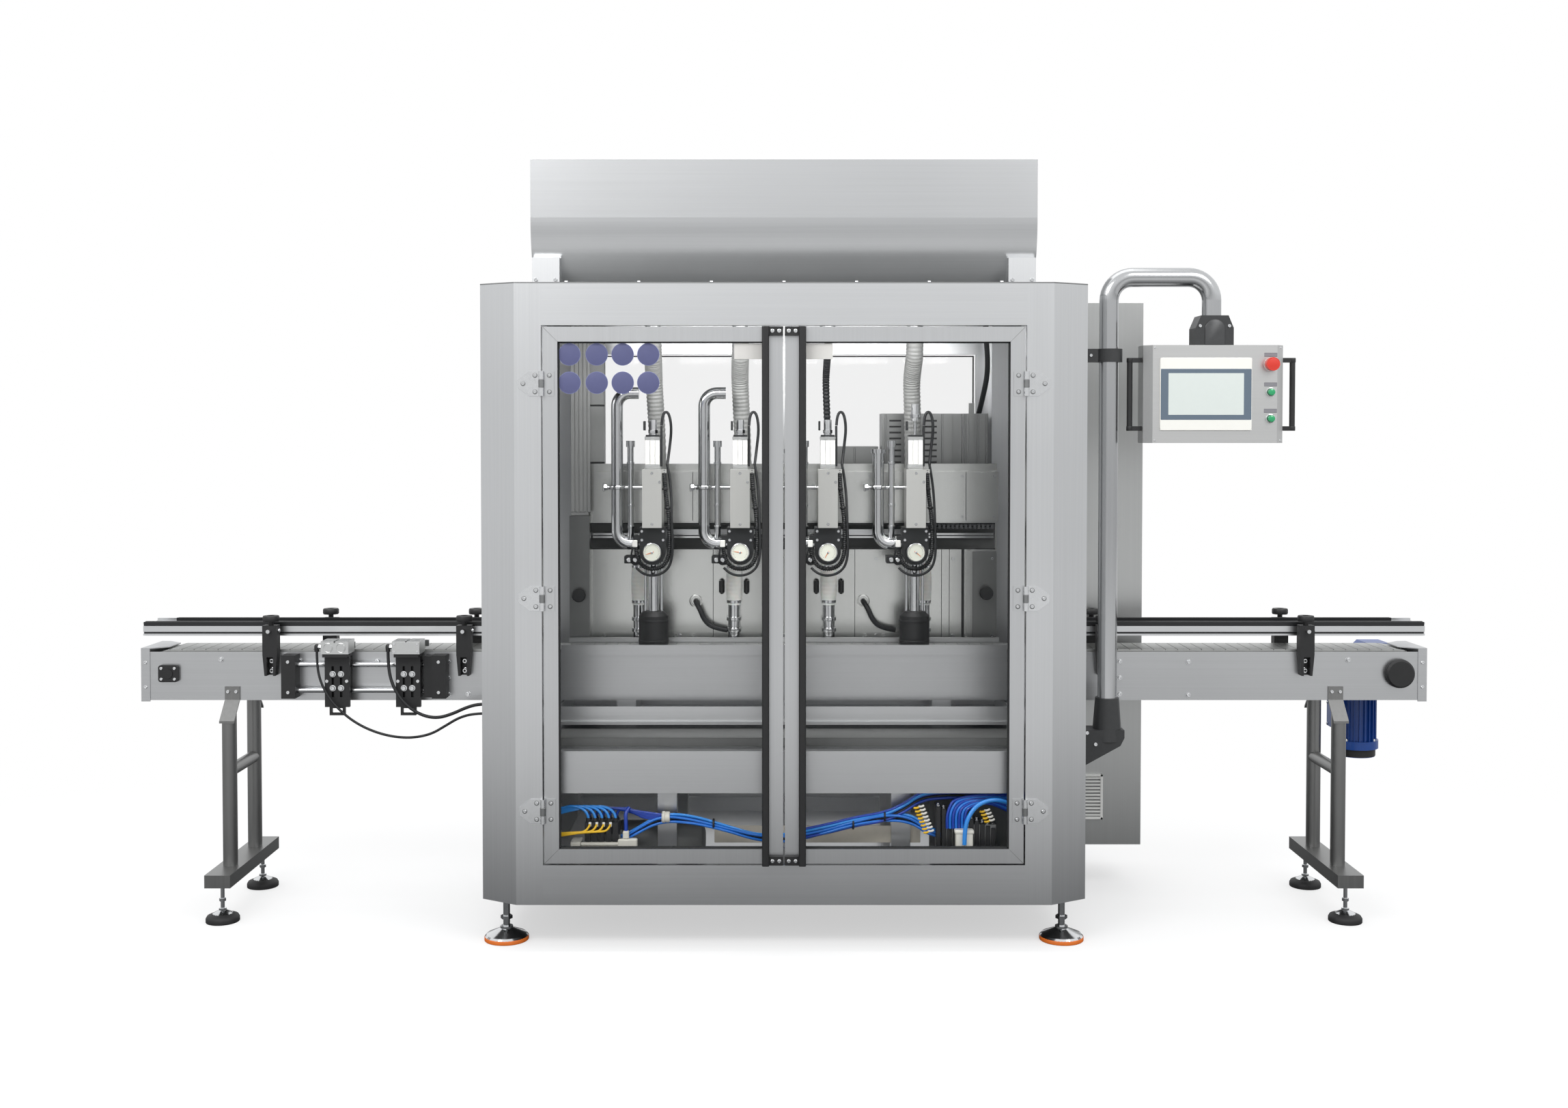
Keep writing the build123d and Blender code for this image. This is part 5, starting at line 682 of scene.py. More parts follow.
# Back panel and track
# The wall behind the heads is bright annealed stainless. Its slot shows the ground linear rail
# and, at the right, the chain that carries the heads' tubes and cables.
# Bright annealed sheet: pale and cloudy, with soft upright smears of reflection.
panel_steel = paint("bright_annealed_sheet", "#dddedb", 0.24, 1.0, grain=(60.0, 60.0, 1.2),
                    spread=0.03, cloud=0.16, slot="stainless")
finish_node(panel_steel, "back_panel")
# Brushed housing sheet: mid grey, with upright lines.
housing_sheet = paint("brushed_housing_sheet", "#8d8e8d", 0.36, 1.0, grain=(240.0, 240.0, 1.2),
                      spread=0.03, slot="dark_paint")
finish_node(grey_paint_and_shade_sheet, "tracking_rails")
# Ground rail: the brightest lines in the slot, with grinding marks along them.
ground_steel = paint("ground_rail_steel", "#dcdddd", 0.16, 1.0, grain=(2.0, 240.0, 240.0),
                     spread=0.04, slot="bright_steel")
wall, behind_wall, beam = 0.15, 0.1502, 0.11
bars("linear_rail_faces", ground_steel,
     [(-0.698, 0.698, 0.1806, 0.1822, z, z + 0.007) for z in (1.1715, 1.1815)], 0.0004)
bars("slot_edge_strips", black_nylon,
     [(-0.699, 0.699, 0.1485, behind_wall, z, z + 0.0036) for z in (1.1362, 1.2202)], 0.0004)
link_x = np.arange(0.452, 0.69, 0.0145)
# Moulded chain links: plain mid grey with a low sheen.
chain_plastic = paint("grey_chain_plastic", "#77787a", 0.45, spread=0.1, slot="black_plastic")
bars("energy_chain_links", chain_plastic,
     [(x, x + 0.0118, 0.156, 0.178, 1.203, 1.2195) for x in link_x], 0.0022)
turned("energy_chain_pins", black_nylon, [(0.003, 0.0), (0.003, 0.006)],
       spots(link_x[:-1] + 0.0132, 0.1555, 1.2112), "y", 10)
screws("wall_screws", spots((-0.69, -0.345, 0.0, 0.305, 0.56, 0.69), wall, (0.85, 1.105)),
       0.0055, 0.004)
screws("beam_cover_screws", spots((-0.605, -0.26, 0.0, 0.28, 0.585, 0.69), beam, (1.246, 1.38)),
       0.0045, 0.003)
bars("wall_handles", black_nylon,
     [(x - 0.009, x + 0.009, 0.128, behind_wall, 0.989, 1.039)
      for x in (-0.206, -0.124, 0.107, 0.189)], 0.006)
bars("wall_side_plate", housing_sheet, (0.624, 0.704, 0.1475, behind_wall, 0.816, 1.13), 0.0006)
bars("wall_light_strip", panel_steel, (0.603, 0.62, 0.1465, behind_wall, 0.816, 1.134), 0.0006)
seam = 0.0009
seams = [(x - seam, x + seam, 0.1488, behind_wall, 0.8165, 1.136)
         for x in (-0.235, 0.235, 0.522, 0.548)]
seams += [(0.588, 0.597, 0.1488, behind_wall, 0.8165, 1.136)]
seams += [(x - seam, x + seam, 0.1088, 0.1102, 1.234, 1.393) for x in (-0.3, 0.02, 0.598)]
bars("wall_seams", black_nylon, seams, 0.0003)
turned("wall_knobs", black_nylon,
       [(0.012, 0.0), (0.012, -0.012), (0.0215, -0.014), (0.0225, -0.018), (0.0225, -0.026),
        (0.02, -0.0295), (0.008, -0.03)], [(-0.672, 0.106, 0.99), (0.668, 0.1475, 0.993)], "y", 28)
port_xs = (-0.292, 0.262)
turned("wall_ports", panel_steel,
       [(0.0215, 0.0), (0.0215, -0.006), (0.0185, -0.0075), (0.015, -0.0075), (0.014, -0.002)],
       spots(port_xs, wall, 0.965), "y", 28, slot="bright_steel")
for i, x in enumerate(port_xs):
    curve_along(f"drain_hose_{i}",
                [(x, 0.1495, 0.965), (x, 0.125, 0.965), (x + 0.014, 0.108, 0.945),
                 (x + 0.03, 0.108, 0.905), (x + 0.058, 0.112, 0.88), (x + 0.105, 0.118, 0.872)],
                0.0085, rubber_jacket)

# Housings behind the track
# Servo housings of painted and brushed sheet with cooling slots, and a slotted grey duct that
# takes the cables up to the roof at the left.
finish_node(housing_sheet, "inner_housings")
bars("housing_slots", black_nylon,
     [(x, x + 0.04, 0.2508, 0.2524, z, z + 0.006) for x in (0.355, 0.415, 0.475)
      for z in np.arange(1.3, 1.57, 0.02)], 0.0005)
bars("housing_ribs", housing_sheet,
     [(x, x + 0.006, 0.247, 0.2523, 0.82, 1.585 if x > 0.31 else 1.474)
      for x in (0.34, 0.53, 0.606, 0.65, 0.68, 0.158, 0.235, 0.306)])
# Extruded duct plastic: matt grey, the same all over.
duct_grey = paint("slotted_duct_plastic", "#8b8c8b", 0.5, spread=0.06, slot="dark_paint")
fingers = [(x, x + 0.01, 0.107, 0.11, 1.262, 1.955) for x in np.arange(-0.7, -0.64, 0.0135)]
bars("cable_duct", duct_grey, [(-0.7, -0.642, 0.11, 0.149, 1.2505, 1.9595), *fingers], 0.0015)

# Product hoses
# A grey wire-wound hose, ribbed every 12 mm, runs from each outlet of the hopper behind the heads
# to the beam cover. The photograph shows the third one narrow and black.


def route(points, count):
    """Points on the quadratic B-spline of the control points, which starts and ends on the first
    and last: each span blends three points by the squares of its share."""
    p = np.asarray(points, float)
    knots = np.concatenate([[0, 0], np.arange(len(p) - 1), [len(p) - 2] * 2]).astype(float)
    t = np.linspace(0.0, len(p) - 2 - 1e-9, count)[:, None]
    weights = ((t >= knots[:-1]) & (t < knots[1:])).astype(float)
    for degree in (1, 2):
        low, high = knots[:-1 - degree], knots[degree + 1:]
        left, right = knots[degree:-1] - low, high - knots[1:-degree]
        up = np.divide(t - low, left, out=np.zeros((count, len(left))), where=left > 0)
        down = np.divide(high - t, right, out=np.zeros((count, len(right))), where=right > 0)
        weights = weights[:, :-1] * up + weights[:, 1:] * down
    return weights @ p


def hose(points, radii, across=(0.0, 1.0, 0.0), around=14):
    """Grid of a tube: at each point of the line a ring of the given radius stands square to the
    line, turned from the direction across."""
    line = np.asarray(points, float)
    ahead = np.gradient(line, axis=0)
    ahead /= np.linalg.norm(ahead, axis=1, keepdims=True)
    first = np.cross(ahead, across)
    first /= np.linalg.norm(first, axis=1, keepdims=True)
    second = np.cross(ahead, first)
    angle = np.linspace(0.0, 2.0 * np.pi, around, endpoint=False)[None, :, None]
    rings = first[:, None] * np.cos(angle) + second[:, None] * np.sin(angle)
    return line[:, None] + rings * np.broadcast_to(radii, len(line))[:, None, None]


head_xs = (-0.42, -0.14, 0.14, 0.42)
# Wire-wound hose: satin grey whose skin is a little uneven over the wire.
wound_hose = paint("wire_wound_hose", "#8f908e", 0.42, bump=(160.0, 0.0006))
ribs = 0.001 * np.cos(np.linspace(0.0, 1.0, 161) * 2 * np.pi * 36)
for i, x in enumerate(head_xs):
    line = route([(x, 0.0, 1.829), (x, 0.0, 1.775), (x - 0.002, 0.038, 1.738),
                  (x - 0.004, 0.084, 1.69), (x, 0.1, 1.6), (x + 0.004, 0.118, 1.5),
                  (x + 0.006, 0.13, 1.3945)], 161)
    radius, coat = (0.011, rubber_jacket) if i == 2 else (0.0275, wound_hose)
    surfaces(f"product_hose_{i + 1}", hose(line, radius + ribs, (1.0, 0.0, 0.0), 18), coat,
             slot="dark_paint")
turned("outlet_clamps", riser_steel, band(0.0262, 0.0272, 0.011), spots(head_xs, 0.0, 1.831),
       around=28)
curve_along("roof_cable", [(0.655, 0.1, 1.958), (0.662, 0.115, 1.85), (0.678, 0.17, 1.73),
                           (0.668, 0.24, 1.64), (0.662, 0.3, 1.5875)], 0.009, rubber_jacket)
# A grey wiring duct with a snap-on lid and three black ties comes down from the roof at the left.
duct_x0, duct_x1, duct_y0 = -0.658, -0.598, 0.175
bars("wiring_duct", duct_grey, (duct_x0, duct_x1, duct_y0, 0.225, 1.2505, 1.958), 0.002)
bars("duct_lid", duct_grey,
     (duct_x0 - 0.001, duct_x1 + 0.001, duct_y0 - 0.007, duct_y0 + 0.004, 1.2525, 1.956), 0.0015)
bars("duct_ties", black_nylon,
     [(duct_x0 - 0.002, duct_x1 + 0.002, duct_y0 - 0.009, duct_y0 + 0.006, z, z + 0.006)
      for z in (1.42, 1.61, 1.8)])

# Filling heads
# Each head is a stainless cover over a black valve block, with a compact air cylinder on top, a
# dial gauge in front, a corrugated hose round it and a bent product pipe at its left.
finish_node(riser_steel, "head_pipes")
# Brushed covers: pale warm steel with upright lines.
finish_node(paint("brushed_cover_plate", "#dcdcd8", 0.34, 1.0, grain=upright, spread=0.04),
            "head_covers")
finish_node(anodised, "head_cylinders", "head_carriage")
# Black anodising: very dark grey with a dull metallic sheen.
dark_block = paint("black_anodised_block", "#2a2b2c", 0.38, 0.3, grain=cast_grain,
                   slot="black_plastic")
finish_node(dark_block, "gauge_blocks")
finish_node(black_nylon, "fill_nozzles")
# What is the same on every head is drawn once, round the head's own middle, and repeated.
on_heads = {"body": "filling_heads"}
each_head = {**on_heads, "at": head_xs}
screws("cover_screws", [(0.0, -0.062, 1.394), (0.024, -0.062, 1.366), (0.0, -0.062, 1.232)],
       0.0046, 0.003, coat=shaft_steel, **each_head)
# Baked enamel: smooth warm white, half glossy.
white_body = paint("white_cylinder_enamel", "#ecebe6", 0.38, spread=0.04, slot="aluminium")
bars("cylinder_faces", white_body,
     [(x, x + 0.0144, -0.0366, -0.0342, 1.4215, 1.4985) for x in (-0.0232, -0.0072, 0.0088)],
     0.0006, **each_head)
bars("cylinder_ends", cylinder_aluminium,
     [(-0.0245, 0.0245, -0.0368, 0.014, z, z + 0.01) for z in (1.4075, 1.5005)], **each_head)
bars("sensor_rails", dark_block, [(0.0236, 0.031, -0.022, -0.006, 1.415, 1.545),
                                  (-0.03, -0.0237, -0.03, 0.0, 1.53, 1.56)], **each_head)
bars("cylinder_tops", dark_block, (-0.022, 0.022, -0.032, 0.01, 1.5066, 1.516), 0.0012,
     **each_head)
# The fourth cylinder's rod stands out 50 mm further than the others.
rods_out = (0.004, 0.004, 0.004, 0.054)
turned("rod_nuts", bright_screw, band(0.0128, 0.0152, 0.012),
       [(x, -0.011, 1.5165 + out) for x, out in zip(head_xs, rods_out)], around=6, **on_heads)

# Dial gauges: chromed pressed case, white enamelled dial with printed ticks, orange needle.
gauge_z = 1.142
gauge = [(0.0, 0.0, gauge_z)]
turned("gauge_bezels", chrome,
       [(0.0302, -0.047), (0.0308, -0.049), (0.0308, -0.064), (0.0298, -0.0672),
        (0.0278, -0.068), (0.0266, -0.0668), (0.0264, -0.0662)], gauge, "y", 40, **each_head)
# Enamelled dial: pale cream under a clear gloss.
dial_white = paint("enamelled_dial", "#e6e8da", 0.3, spread=0.02, slot="screen_face",
                   Coat_Weight=0.4)
turned("gauge_dials", dial_white, [(0.0263, -0.0661), (0.0263, -0.0665)], gauge, "y", 40,
       **each_head)
needles("gauge_ticks", dark_block, gauge, np.linspace(-135, 135, 21), 0.0205, 0.024, 0.0005,
        -0.0665, -0.0667, **each_head)
# Sprayed needle: flat orange, easy to see on the dial.
needle_orange = paint("sprayed_needle_orange", "#e0742a", 0.4, spread=0.05, slot="stop_red")
needles("gauge_needles", needle_orange, spots(head_xs, 0.0, gauge_z), (-110, -80, -150, 130),
        -0.006, 0.0195, 0.0014, -0.0668, -0.0673, **on_heads)
turned("needle_hubs", bright_screw, [(0.0036, -0.0667), (0.0036, -0.0676), (0.0028, -0.068)],
       gauge, "y", 16, **each_head)

# Corrugated hose and fittings round each valve block: polyamide conduit, ribbed every 6 mm.
# Polyamide: near black, and each rib catches a small highlight.
conduit = paint("corrugated_polyamide", "#1f2021", 0.42, spread=0.2, slot="black_plastic")
line = route([(0.038, -0.034, 1.404), (0.038, -0.034, 1.348), (0.0545, -0.034, 1.244),
              (0.0545, -0.034, 1.087), (-0.0545, -0.034, 1.087), (-0.0545, -0.034, 1.172)], 421)
distance = np.insert(np.cumsum(np.linalg.norm(np.diff(line, axis=0), axis=1)), 0, 0.0)
ribbed = hose(line, 0.0068 + 0.0012 * np.sin(distance * 2 * np.pi / 0.0062), around=12)
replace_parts(surfaces("corrugated_conduits", ribbed, conduit, sharp=180, **each_head), "head_hoses")
for name, radius, points in (
        ("slim_hose", 0.0042, [
            (0.046, -0.018, 1.42), (0.058, -0.02, 1.36), (0.062, -0.044, 1.24),
            (0.066, -0.046, 1.11), (0.03, -0.046, 1.068), (-0.03, -0.044, 1.066),
            (-0.052, -0.03, 1.09)]),
        ("top_hose", 0.0046, [
            (0.028, -0.014, 1.546), (0.03, -0.014, 1.585), (0.05, -0.014, 1.592),
            (0.06, -0.01, 1.54), (0.052, 0.0, 1.47), (0.046, -0.018, 1.42)]),
        ("valve_wire", 0.003, [
            (-0.058, -0.05, 1.172), (-0.064, -0.054, 1.15), (-0.07, -0.046, 1.118),
            (-0.062, -0.034, 1.098), (-0.044, -0.03, 1.104)])):
    for i, x in enumerate(head_xs):
        curve_along(f"{name}_{i + 1}", np.array(points) + (x, 0, 0), radius, rubber_jacket,
                    **on_heads)
turned("conduit_ties", black_nylon, band(0.009, 0.0096, 0.005),
       [(0.0395, -0.034, 1.34), (0.0475, -0.034, 1.28), (0.054, -0.034, 1.215)], around=14,
       **each_head)
bars("small_valves", white_body, (-0.064, -0.048, -0.056, -0.04, 1.158, 1.18), 0.0015, **each_head)
bars("valve_manifolds", dark_block, (-0.092, -0.0425, -0.03, 0.03, 1.104, 1.128), 0.0015,
     **each_head)
turned("manifold_fittings", bright_screw,
       [(0.0075, 0.0), (0.0075, -0.006), (0.0058, -0.0075), (0.0058, -0.011)],
       spots((-0.056, -0.076), -0.03, 1.116), "y", 16, **each_head)
screws("block_screws", spots(pair(0, 0.034), -0.04, (1.18, 1.208)), 0.0048, 0.004, **each_head)

# Clamps of the pipes: a cast ring with a wing nut at its left, and an elbow union below.
turned("clamp_rings", riser_steel, band(0.0252, 0.0268, 0.013, 0.002), [(-0.117, 0.005, 1.34)],
       around=28, **each_head)
turned("clamp_nuts", bright_screw, band(0.009, 0.0105, 0.0115, 0.0015), [(-0.16, 0.005, 1.3465)],
       "x", 6, **each_head)
bars("clamp_wings", riser_steel, (-0.164, -0.156, 0.0, 0.01, 1.334, 1.359), 0.002, **each_head)
turned("pipe_unions", riser_steel, band(0.02, 0.024, 0.013), [(-0.062, 0.005, 1.165)], "x", 28,
       **each_head)
turned("level_tube_bands", riser_steel, band(0.0108, 0.0122, 0.009),
       spots(-0.074, 0.005, (1.215, 1.285, 1.42)), **each_head)

# Nozzles of the outer heads: polished tube and guide bars above the black shrouds.
outer = pair(0, 0.42)
turned("nozzle_tubes", riser_steel, [(0.0162, 0.9488), (0.0162, 1.0992)], spots(outer, 0, 0),
       around=28, **on_heads)
turned("nozzle_bars", riser_steel, [(0.0046, 0.9488), (0.0046, 1.1075)],
       spots(pair(outer, 0.026), 0, 0), around=16, **on_heads)
turned("shroud_bands", black_nylon, band(0.0483, 0.0492, 0.007), spots(outer, 0, (0.85, 0.915)),
       around=36, **on_heads)

# Lower bay
# Valve islands on the floor of the cabinet feed a tied bundle of blue polyurethane air tubes
# 8 mm across, with yellow sensor cables at the left one and striped connectors at the right.
# Polyurethane tube: strong clear blues with a wet shine.
air_blue, deep_blue, sky_blue = [
    paint(f"{shade}blue_polyurethane_tube", colour, roughness, spread=spread, slot="blue_tube",
          Coat_Weight=0.3)
    for shade, colour, roughness, spread in (("", "#1f74d6", 0.28, 0.12),
                                             ("dark_", "#173fa6", 0.28, 0.12),
                                             ("pale_", "#2f8be0", 0.26, 0.1))]
# Moulded valve housing: black with a grain of 2 mm that dulls it, drawn coarser than it is.
island_black = paint("moulded_island_housing", "#262627", 0.45, bump=(500.0, 0.0002), spread=0.15,
                     slot="black_plastic")
# Cable jacket: flat warm yellow. Nylon fittings: warm white with a low sheen.
yellow_cable = paint("yellow_sensor_cable", "#e3b61a", 0.42, spread=0.08, slot="cable_jacket")
white_tie = paint("white_nylon_fitting", "#dcdad0", 0.45, spread=0.05, slot="screen_face")
# Behind the tubes lie a pale folded cable tray, an aluminium rail, a dark air receiver and
# the dark mounting plate of the terminal.
# Powder coat: pale beige and finely pebbled.
tray_paint = paint("powder_coated_tray", "#cfc9bb", 0.5, bump=(300.0, 0.0003), spread=0.06,
                   slot="dark_paint")
bars("cable_tray", tray_paint, [(-0.212, 0.415, -0.302, -0.299, 0.276, 0.327),
                                (-0.212, 0.415, -0.302, -0.262, 0.2745, 0.2775)])
bars("tube_rail", cylinder_aluminium, (-0.268, 0.402, -0.372, -0.358, 0.266, 0.279), 0.002)
turned("air_receiver", grey_paint_and_shade_sheet,
       [(0.03, -0.52), (0.056, -0.512), (0.062, -0.5), (0.062, -0.262), (0.056, -0.25),
        (0.03, -0.242)], [(0.0, -0.245, 0.268)], "x", 32)
bars("terminal_plate", grey_paint_and_shade_sheet, (0.442, 0.7, -0.299, -0.296, 0.205, 0.44))
tube_radius = 0.0042
shape = np.array([
    (0, 0, 0.01), (0.04, 0, 0.03), (0.12, -0.003, 0.076), (0.21, -0.006, 0.072),
    (0.32, -0.008, 0.045), (0.42, -0.009, 0.016), (0.52, -0.009, 0.014), (0.62, -0.009, 0.036),
    (0.72, -0.008, 0.062), (0.82, -0.006, 0.08), (0.9, -0.003, 0.072), (0.955, 0, 0.025),
    (1, 0, 0.025)])
spine = shape * (0.975, 1, 1) + (-0.49, -0.35, 0.289)
# The tubes weave a little inside the bundle and lie side by side at its ends.
for i, (dy, dz, coat) in enumerate((
        (0.0, 0.009, sky_blue), (0.008, 0.003, deep_blue), (-0.008, 0.004, air_blue),
        (0.005, -0.007, deep_blue), (-0.006, -0.008, air_blue), (0.0, -0.001, rubber_jacket))):
    wave = 0.004 * np.sin(np.arange(len(spine)) * 1.7 + i)
    wave[[0, -1]] = 0.0
    points = spine + np.stack([0 * wave, dy + wave, dz - wave], -1)
    bundled = curve_along(f"bundle_tube_{i + 1}", points, tube_radius, coat, slot="blue_tube")
    if i == 0:
        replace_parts(bundled, "air_tubes")
rising = np.array([
    (0.06, -0.362, 0.318), (0.13, -0.361, 0.332), (0.215, -0.36, 0.354), (0.305, -0.359, 0.368),
    (0.365, -0.357, 0.396), (0.412, -0.35, 0.428), (0.48, -0.34, 0.434), (0.58, -0.33, 0.431),
    (0.697, -0.325, 0.42)])
for i in range(5):
    curve_along(f"rising_tube_{i + 1}",
                rising + (0, 0.004 * (i % 3) - 0.004, 0.0062 * i - 0.012), tube_radius,
                rubber_jacket if i == 1 else (deep_blue, sky_blue)[i % 2], slot="blue_tube")
turned("bundle_ties", white_tie,
       [(0.014, -0.011), (0.0175, -0.009), (0.0175, -0.002), (0.015, 0.0), (0.0165, 0.003),
        (0.0165, 0.012), (0.0135, 0.014)], [(-0.357, -0.355, 0.366)], "x", 16)
turned("bundle_straps", black_nylon, band(0.015, 0.016, 0.006),
       [(-0.215, -0.357, 0.346), (-0.06, -0.358, 0.306), (0.205, -0.358, 0.345),
        (0.3, -0.357, 0.368)], "x", 16)

# Left island: five black valve slices on a pale base, with tubes out of the top of each slice and
# yellow sensor cables with white tips out of its front.
slice_xs = -0.5965 + 0.0205 * np.arange(5)
bars("island_slices", island_black, (0.0, 0.0185, -0.386, -0.3165, 0.298, 0.356), 0.002,
     at=slice_xs)
bars("island_bases", white_tie,
     [(-0.608, -0.497, -0.388, -0.379, z, z + 0.0085) for z in (0.268, 0.278, 0.288)]
     + [(-0.64, -0.609, -0.384, -0.32, 0.266, 0.296)], 0.0015, slot="aluminium")
turned("island_fittings", island_black,
       [(0.0072, 0.0), (0.0072, 0.006), (0.006, 0.007), (0.006, 0.011)],
       spots(0.009, (-0.368, -0.34), 0.3558), around=16, at=slice_xs)
for i, x in enumerate(slice_xs + 0.009):
    curve_along(f"island_tube_{i}",
                [(x, -0.368, 0.366), (x - 0.002, -0.368, 0.38), (x - 0.022, -0.366, 0.397),
                 (x - 0.055, -0.362, 0.402), (-0.66 - 0.002 * i, -0.356, 0.394 - 0.003 * i),
                 (-0.698, -0.35, 0.388 - 0.005 * i)], tube_radius, sky_blue)
    curve_along(f"island_branch_{i}",
                [(x, -0.34, 0.366), (x + 0.002, -0.34, 0.38), (x + 0.022, -0.34, 0.392),
                 (x + 0.06, -0.342, 0.392 - 0.003 * i), (-0.43, -0.35, 0.38 - 0.005 * i),
                 (-0.365, -0.355, 0.372 - 0.003 * i)], tube_radius, deep_blue)
plugs = slice_xs[:4] + 0.016
for i, x in enumerate(plugs):
    curve_along(f"sensor_cable_{i}",
                [(x, -0.387, 0.352), (x - 0.001, -0.396, 0.348), (x - 0.01, -0.402, 0.336),
                 (x - 0.03, -0.404, 0.33 + 0.001 * i), (-0.64, -0.403, 0.325 + 0.002 * i),
                 (-0.698, -0.4, 0.316 + 0.003 * i)], 0.0032, yellow_cable)
turned("sensor_tips", white_tie, [(0.004, 0.0), (0.0044, 0.001), (0.0044, 0.012), (0.0036, 0.013)],
       spots(plugs, -0.387, 0.345), around=12)
bars("air_inlet_tee", white_tie, [(-0.498, -0.44, -0.388, -0.364, 0.28, 0.306),
                                  (-0.483, -0.465, -0.386, -0.366, 0.3055, 0.33)], 0.003)
curve_along("air_inlet_tube", [(-0.474, -0.376, 0.329), (-0.474, -0.376, 0.36),
                               (-0.476, -0.372, 0.384), (-0.466, -0.36, 0.396)], 0.0058, deep_blue)

# Right terminal: a dark comb that steps down to the right, a fan of tubes that rises from it, two
# groups of yellow and white connectors and a pale junction block with the supply tube.
comb = [(0.4555 + 0.0165 * i, 0.4695 + 0.0165 * i, -0.383, -0.318, 0.222, 0.402 - 0.0062 * i)
        for i in range(11)]
bars("terminal_slices", island_black, comb, 0.0015)
turned("terminal_fittings", bright_screw,
       [(0.0062, 0.0), (0.0062, 0.005), (0.0048, 0.006), (0.0048, 0.01)],
       [(0.5 * (x0 + x1), -0.366, top) for x0, x1, _, _, _, top in comb], around=14)
for i in range(7):
    x = 0.488 + 0.009 * i
    curve_along(f"fan_tube_{i}",
                [(x, -0.388, 0.34), (x - 0.002, -0.39, 0.372), (x + 0.006, -0.388, 0.402),
                 (x + 0.022 + 0.006 * i, -0.38, 0.428 - 0.002 * i),
                 (0.61 + 0.006 * i, -0.366, 0.438 - 0.006 * i),
                 (0.697, -0.356, 0.432 - 0.01 * i)], tube_radius, (deep_blue, air_blue)[i % 2])
curve_along("supply_tube", [(0.536, -0.424, 0.3), (0.536, -0.425, 0.338), (0.545, -0.422, 0.378),
                            (0.572, -0.412, 0.414), (0.616, -0.402, 0.43), (0.662, -0.396, 0.424),
                            (0.698, -0.392, 0.404)], 0.0066, sky_blue)
bars("junction_block", white_tie, [(0.511, 0.562, -0.42, -0.392, 0.27, 0.336),
                                   (0.508, 0.565, -0.422, -0.39, 0.33, 0.341)], 0.0025)
rows = [(0.388 + 0.0042 * i, -0.4, 0.404 - 0.0105 * i) for i in range(8)]
rows += [(0.585 + 0.0048 * i, -0.396, 0.392 - 0.01 * i) for i in range(4)]
bend = np.array([(0.0, 0.0, 0.0), (0.007, -0.006, -0.001), (0.0145, 0.0, 0.003)])
for coat, dx, name in ((yellow_cable, 0.0, "yellow"), (white_tie, 0.014, "white")):
    wires = [hose(route(bend + row + (dx, 0.0, 0.3 * dx), 8), 0.0034, around=10) for row in rows]
    surfaces(f"{name}_connector_wires", wires, coat, slot="cable_jacket")

# Control panel and its arm
# A bent stainless tube turns in a cast black socket and a clamp band. The panel box is folded
# from brushed aluminium, with a white-framed touch screen behind glass.
# Polished tube: dark and light stripes along it, because it mirrors the room.
finish_node(paint("polished_bent_tube", "#bcbdbe", 0.17, 1.0, grain=(140.0, 140.0, 3.0),
                  spread=0.04), "arm_tube")
# Textured casting: charcoal, with a coarse powder grain that breaks its highlights.
finish_node(paint("textured_black_casting", "#2f3031", 0.42, bump=(420.0, 0.0004), spread=0.2),
            "arm_brackets", "panel_coupling")
finish_node(black_nylon, "panel_handles")
# Brushed aluminium: pale and soft, with faint lines from side to side.
finish_node(paint("brushed_panel_aluminium", "#cdcdcc", 0.34, 1.0, grain=(2.0, 240.0, 240.0),
                  spread=0.04), "panel_housing")
on_panel = {"body": "control_panel"}
panel_face = -0.3061
screws("clamp_band_screws", [(0.932, -0.28, 1.758)], 0.0052, 0.004)
screws("socket_screws", [(0.922, -0.3, 0.61), (0.948, -0.3, 0.575)], 0.0058, 0.004)
# The boss is an arch: a half circle over two corners, drawn in a little at its face.
boss_x, boss_z, boss_radius = 1.302, 1.82, 0.03
angle = np.linspace(0.0, np.pi, 17)
arch = np.stack([boss_radius * np.cos(angle), 0.016 + boss_radius * np.sin(angle)], 1)
arch = np.concatenate([arch, [(-boss_radius, -0.031), (boss_radius, -0.031)]])
arches = [np.insert(arch * k + (boss_x, boss_z), 1, y, 1)
          for y, k in ((-0.2995, 1.0), (-0.302, 1.0), (-0.303, 0.965))]
# Satin boss: charcoal, smoother than the casting behind it.
boss = paint("satin_coupling_boss", "#3b3c3d", 0.35, bump=(420.0, 0.0003), slot="black_plastic")
surfaces("coupling_boss", arches, boss, **on_panel)
screws("coupling_screws", spots((1.258, 1.346), -0.3, 1.846), 0.005, 0.003, **on_panel)


def rounded(name, coat, x0, x1, z0, z1, corner, stations):
    """A plate with round corners seen in X and Z: a quarter circle at each corner, carried through
    stations of (y, inset)."""
    turn = np.linspace(0.0, 0.5 * np.pi, 7) + 0.5 * np.pi * np.arange(4)[:, None]
    unit = np.stack([np.cos(turn), np.sin(turn)], -1).reshape(-1, 2)
    left, right, low, high = x0 + corner, x1 - corner, z0 + corner, z1 - corner
    middle = np.repeat([(right, high), (left, high), (left, low), (right, low)], 7, 0)
    rings = [np.insert(middle + (corner - inset) * unit, 1, y, 1) for y, inset in stations]
    return surfaces(name, rings, coat, **on_panel)


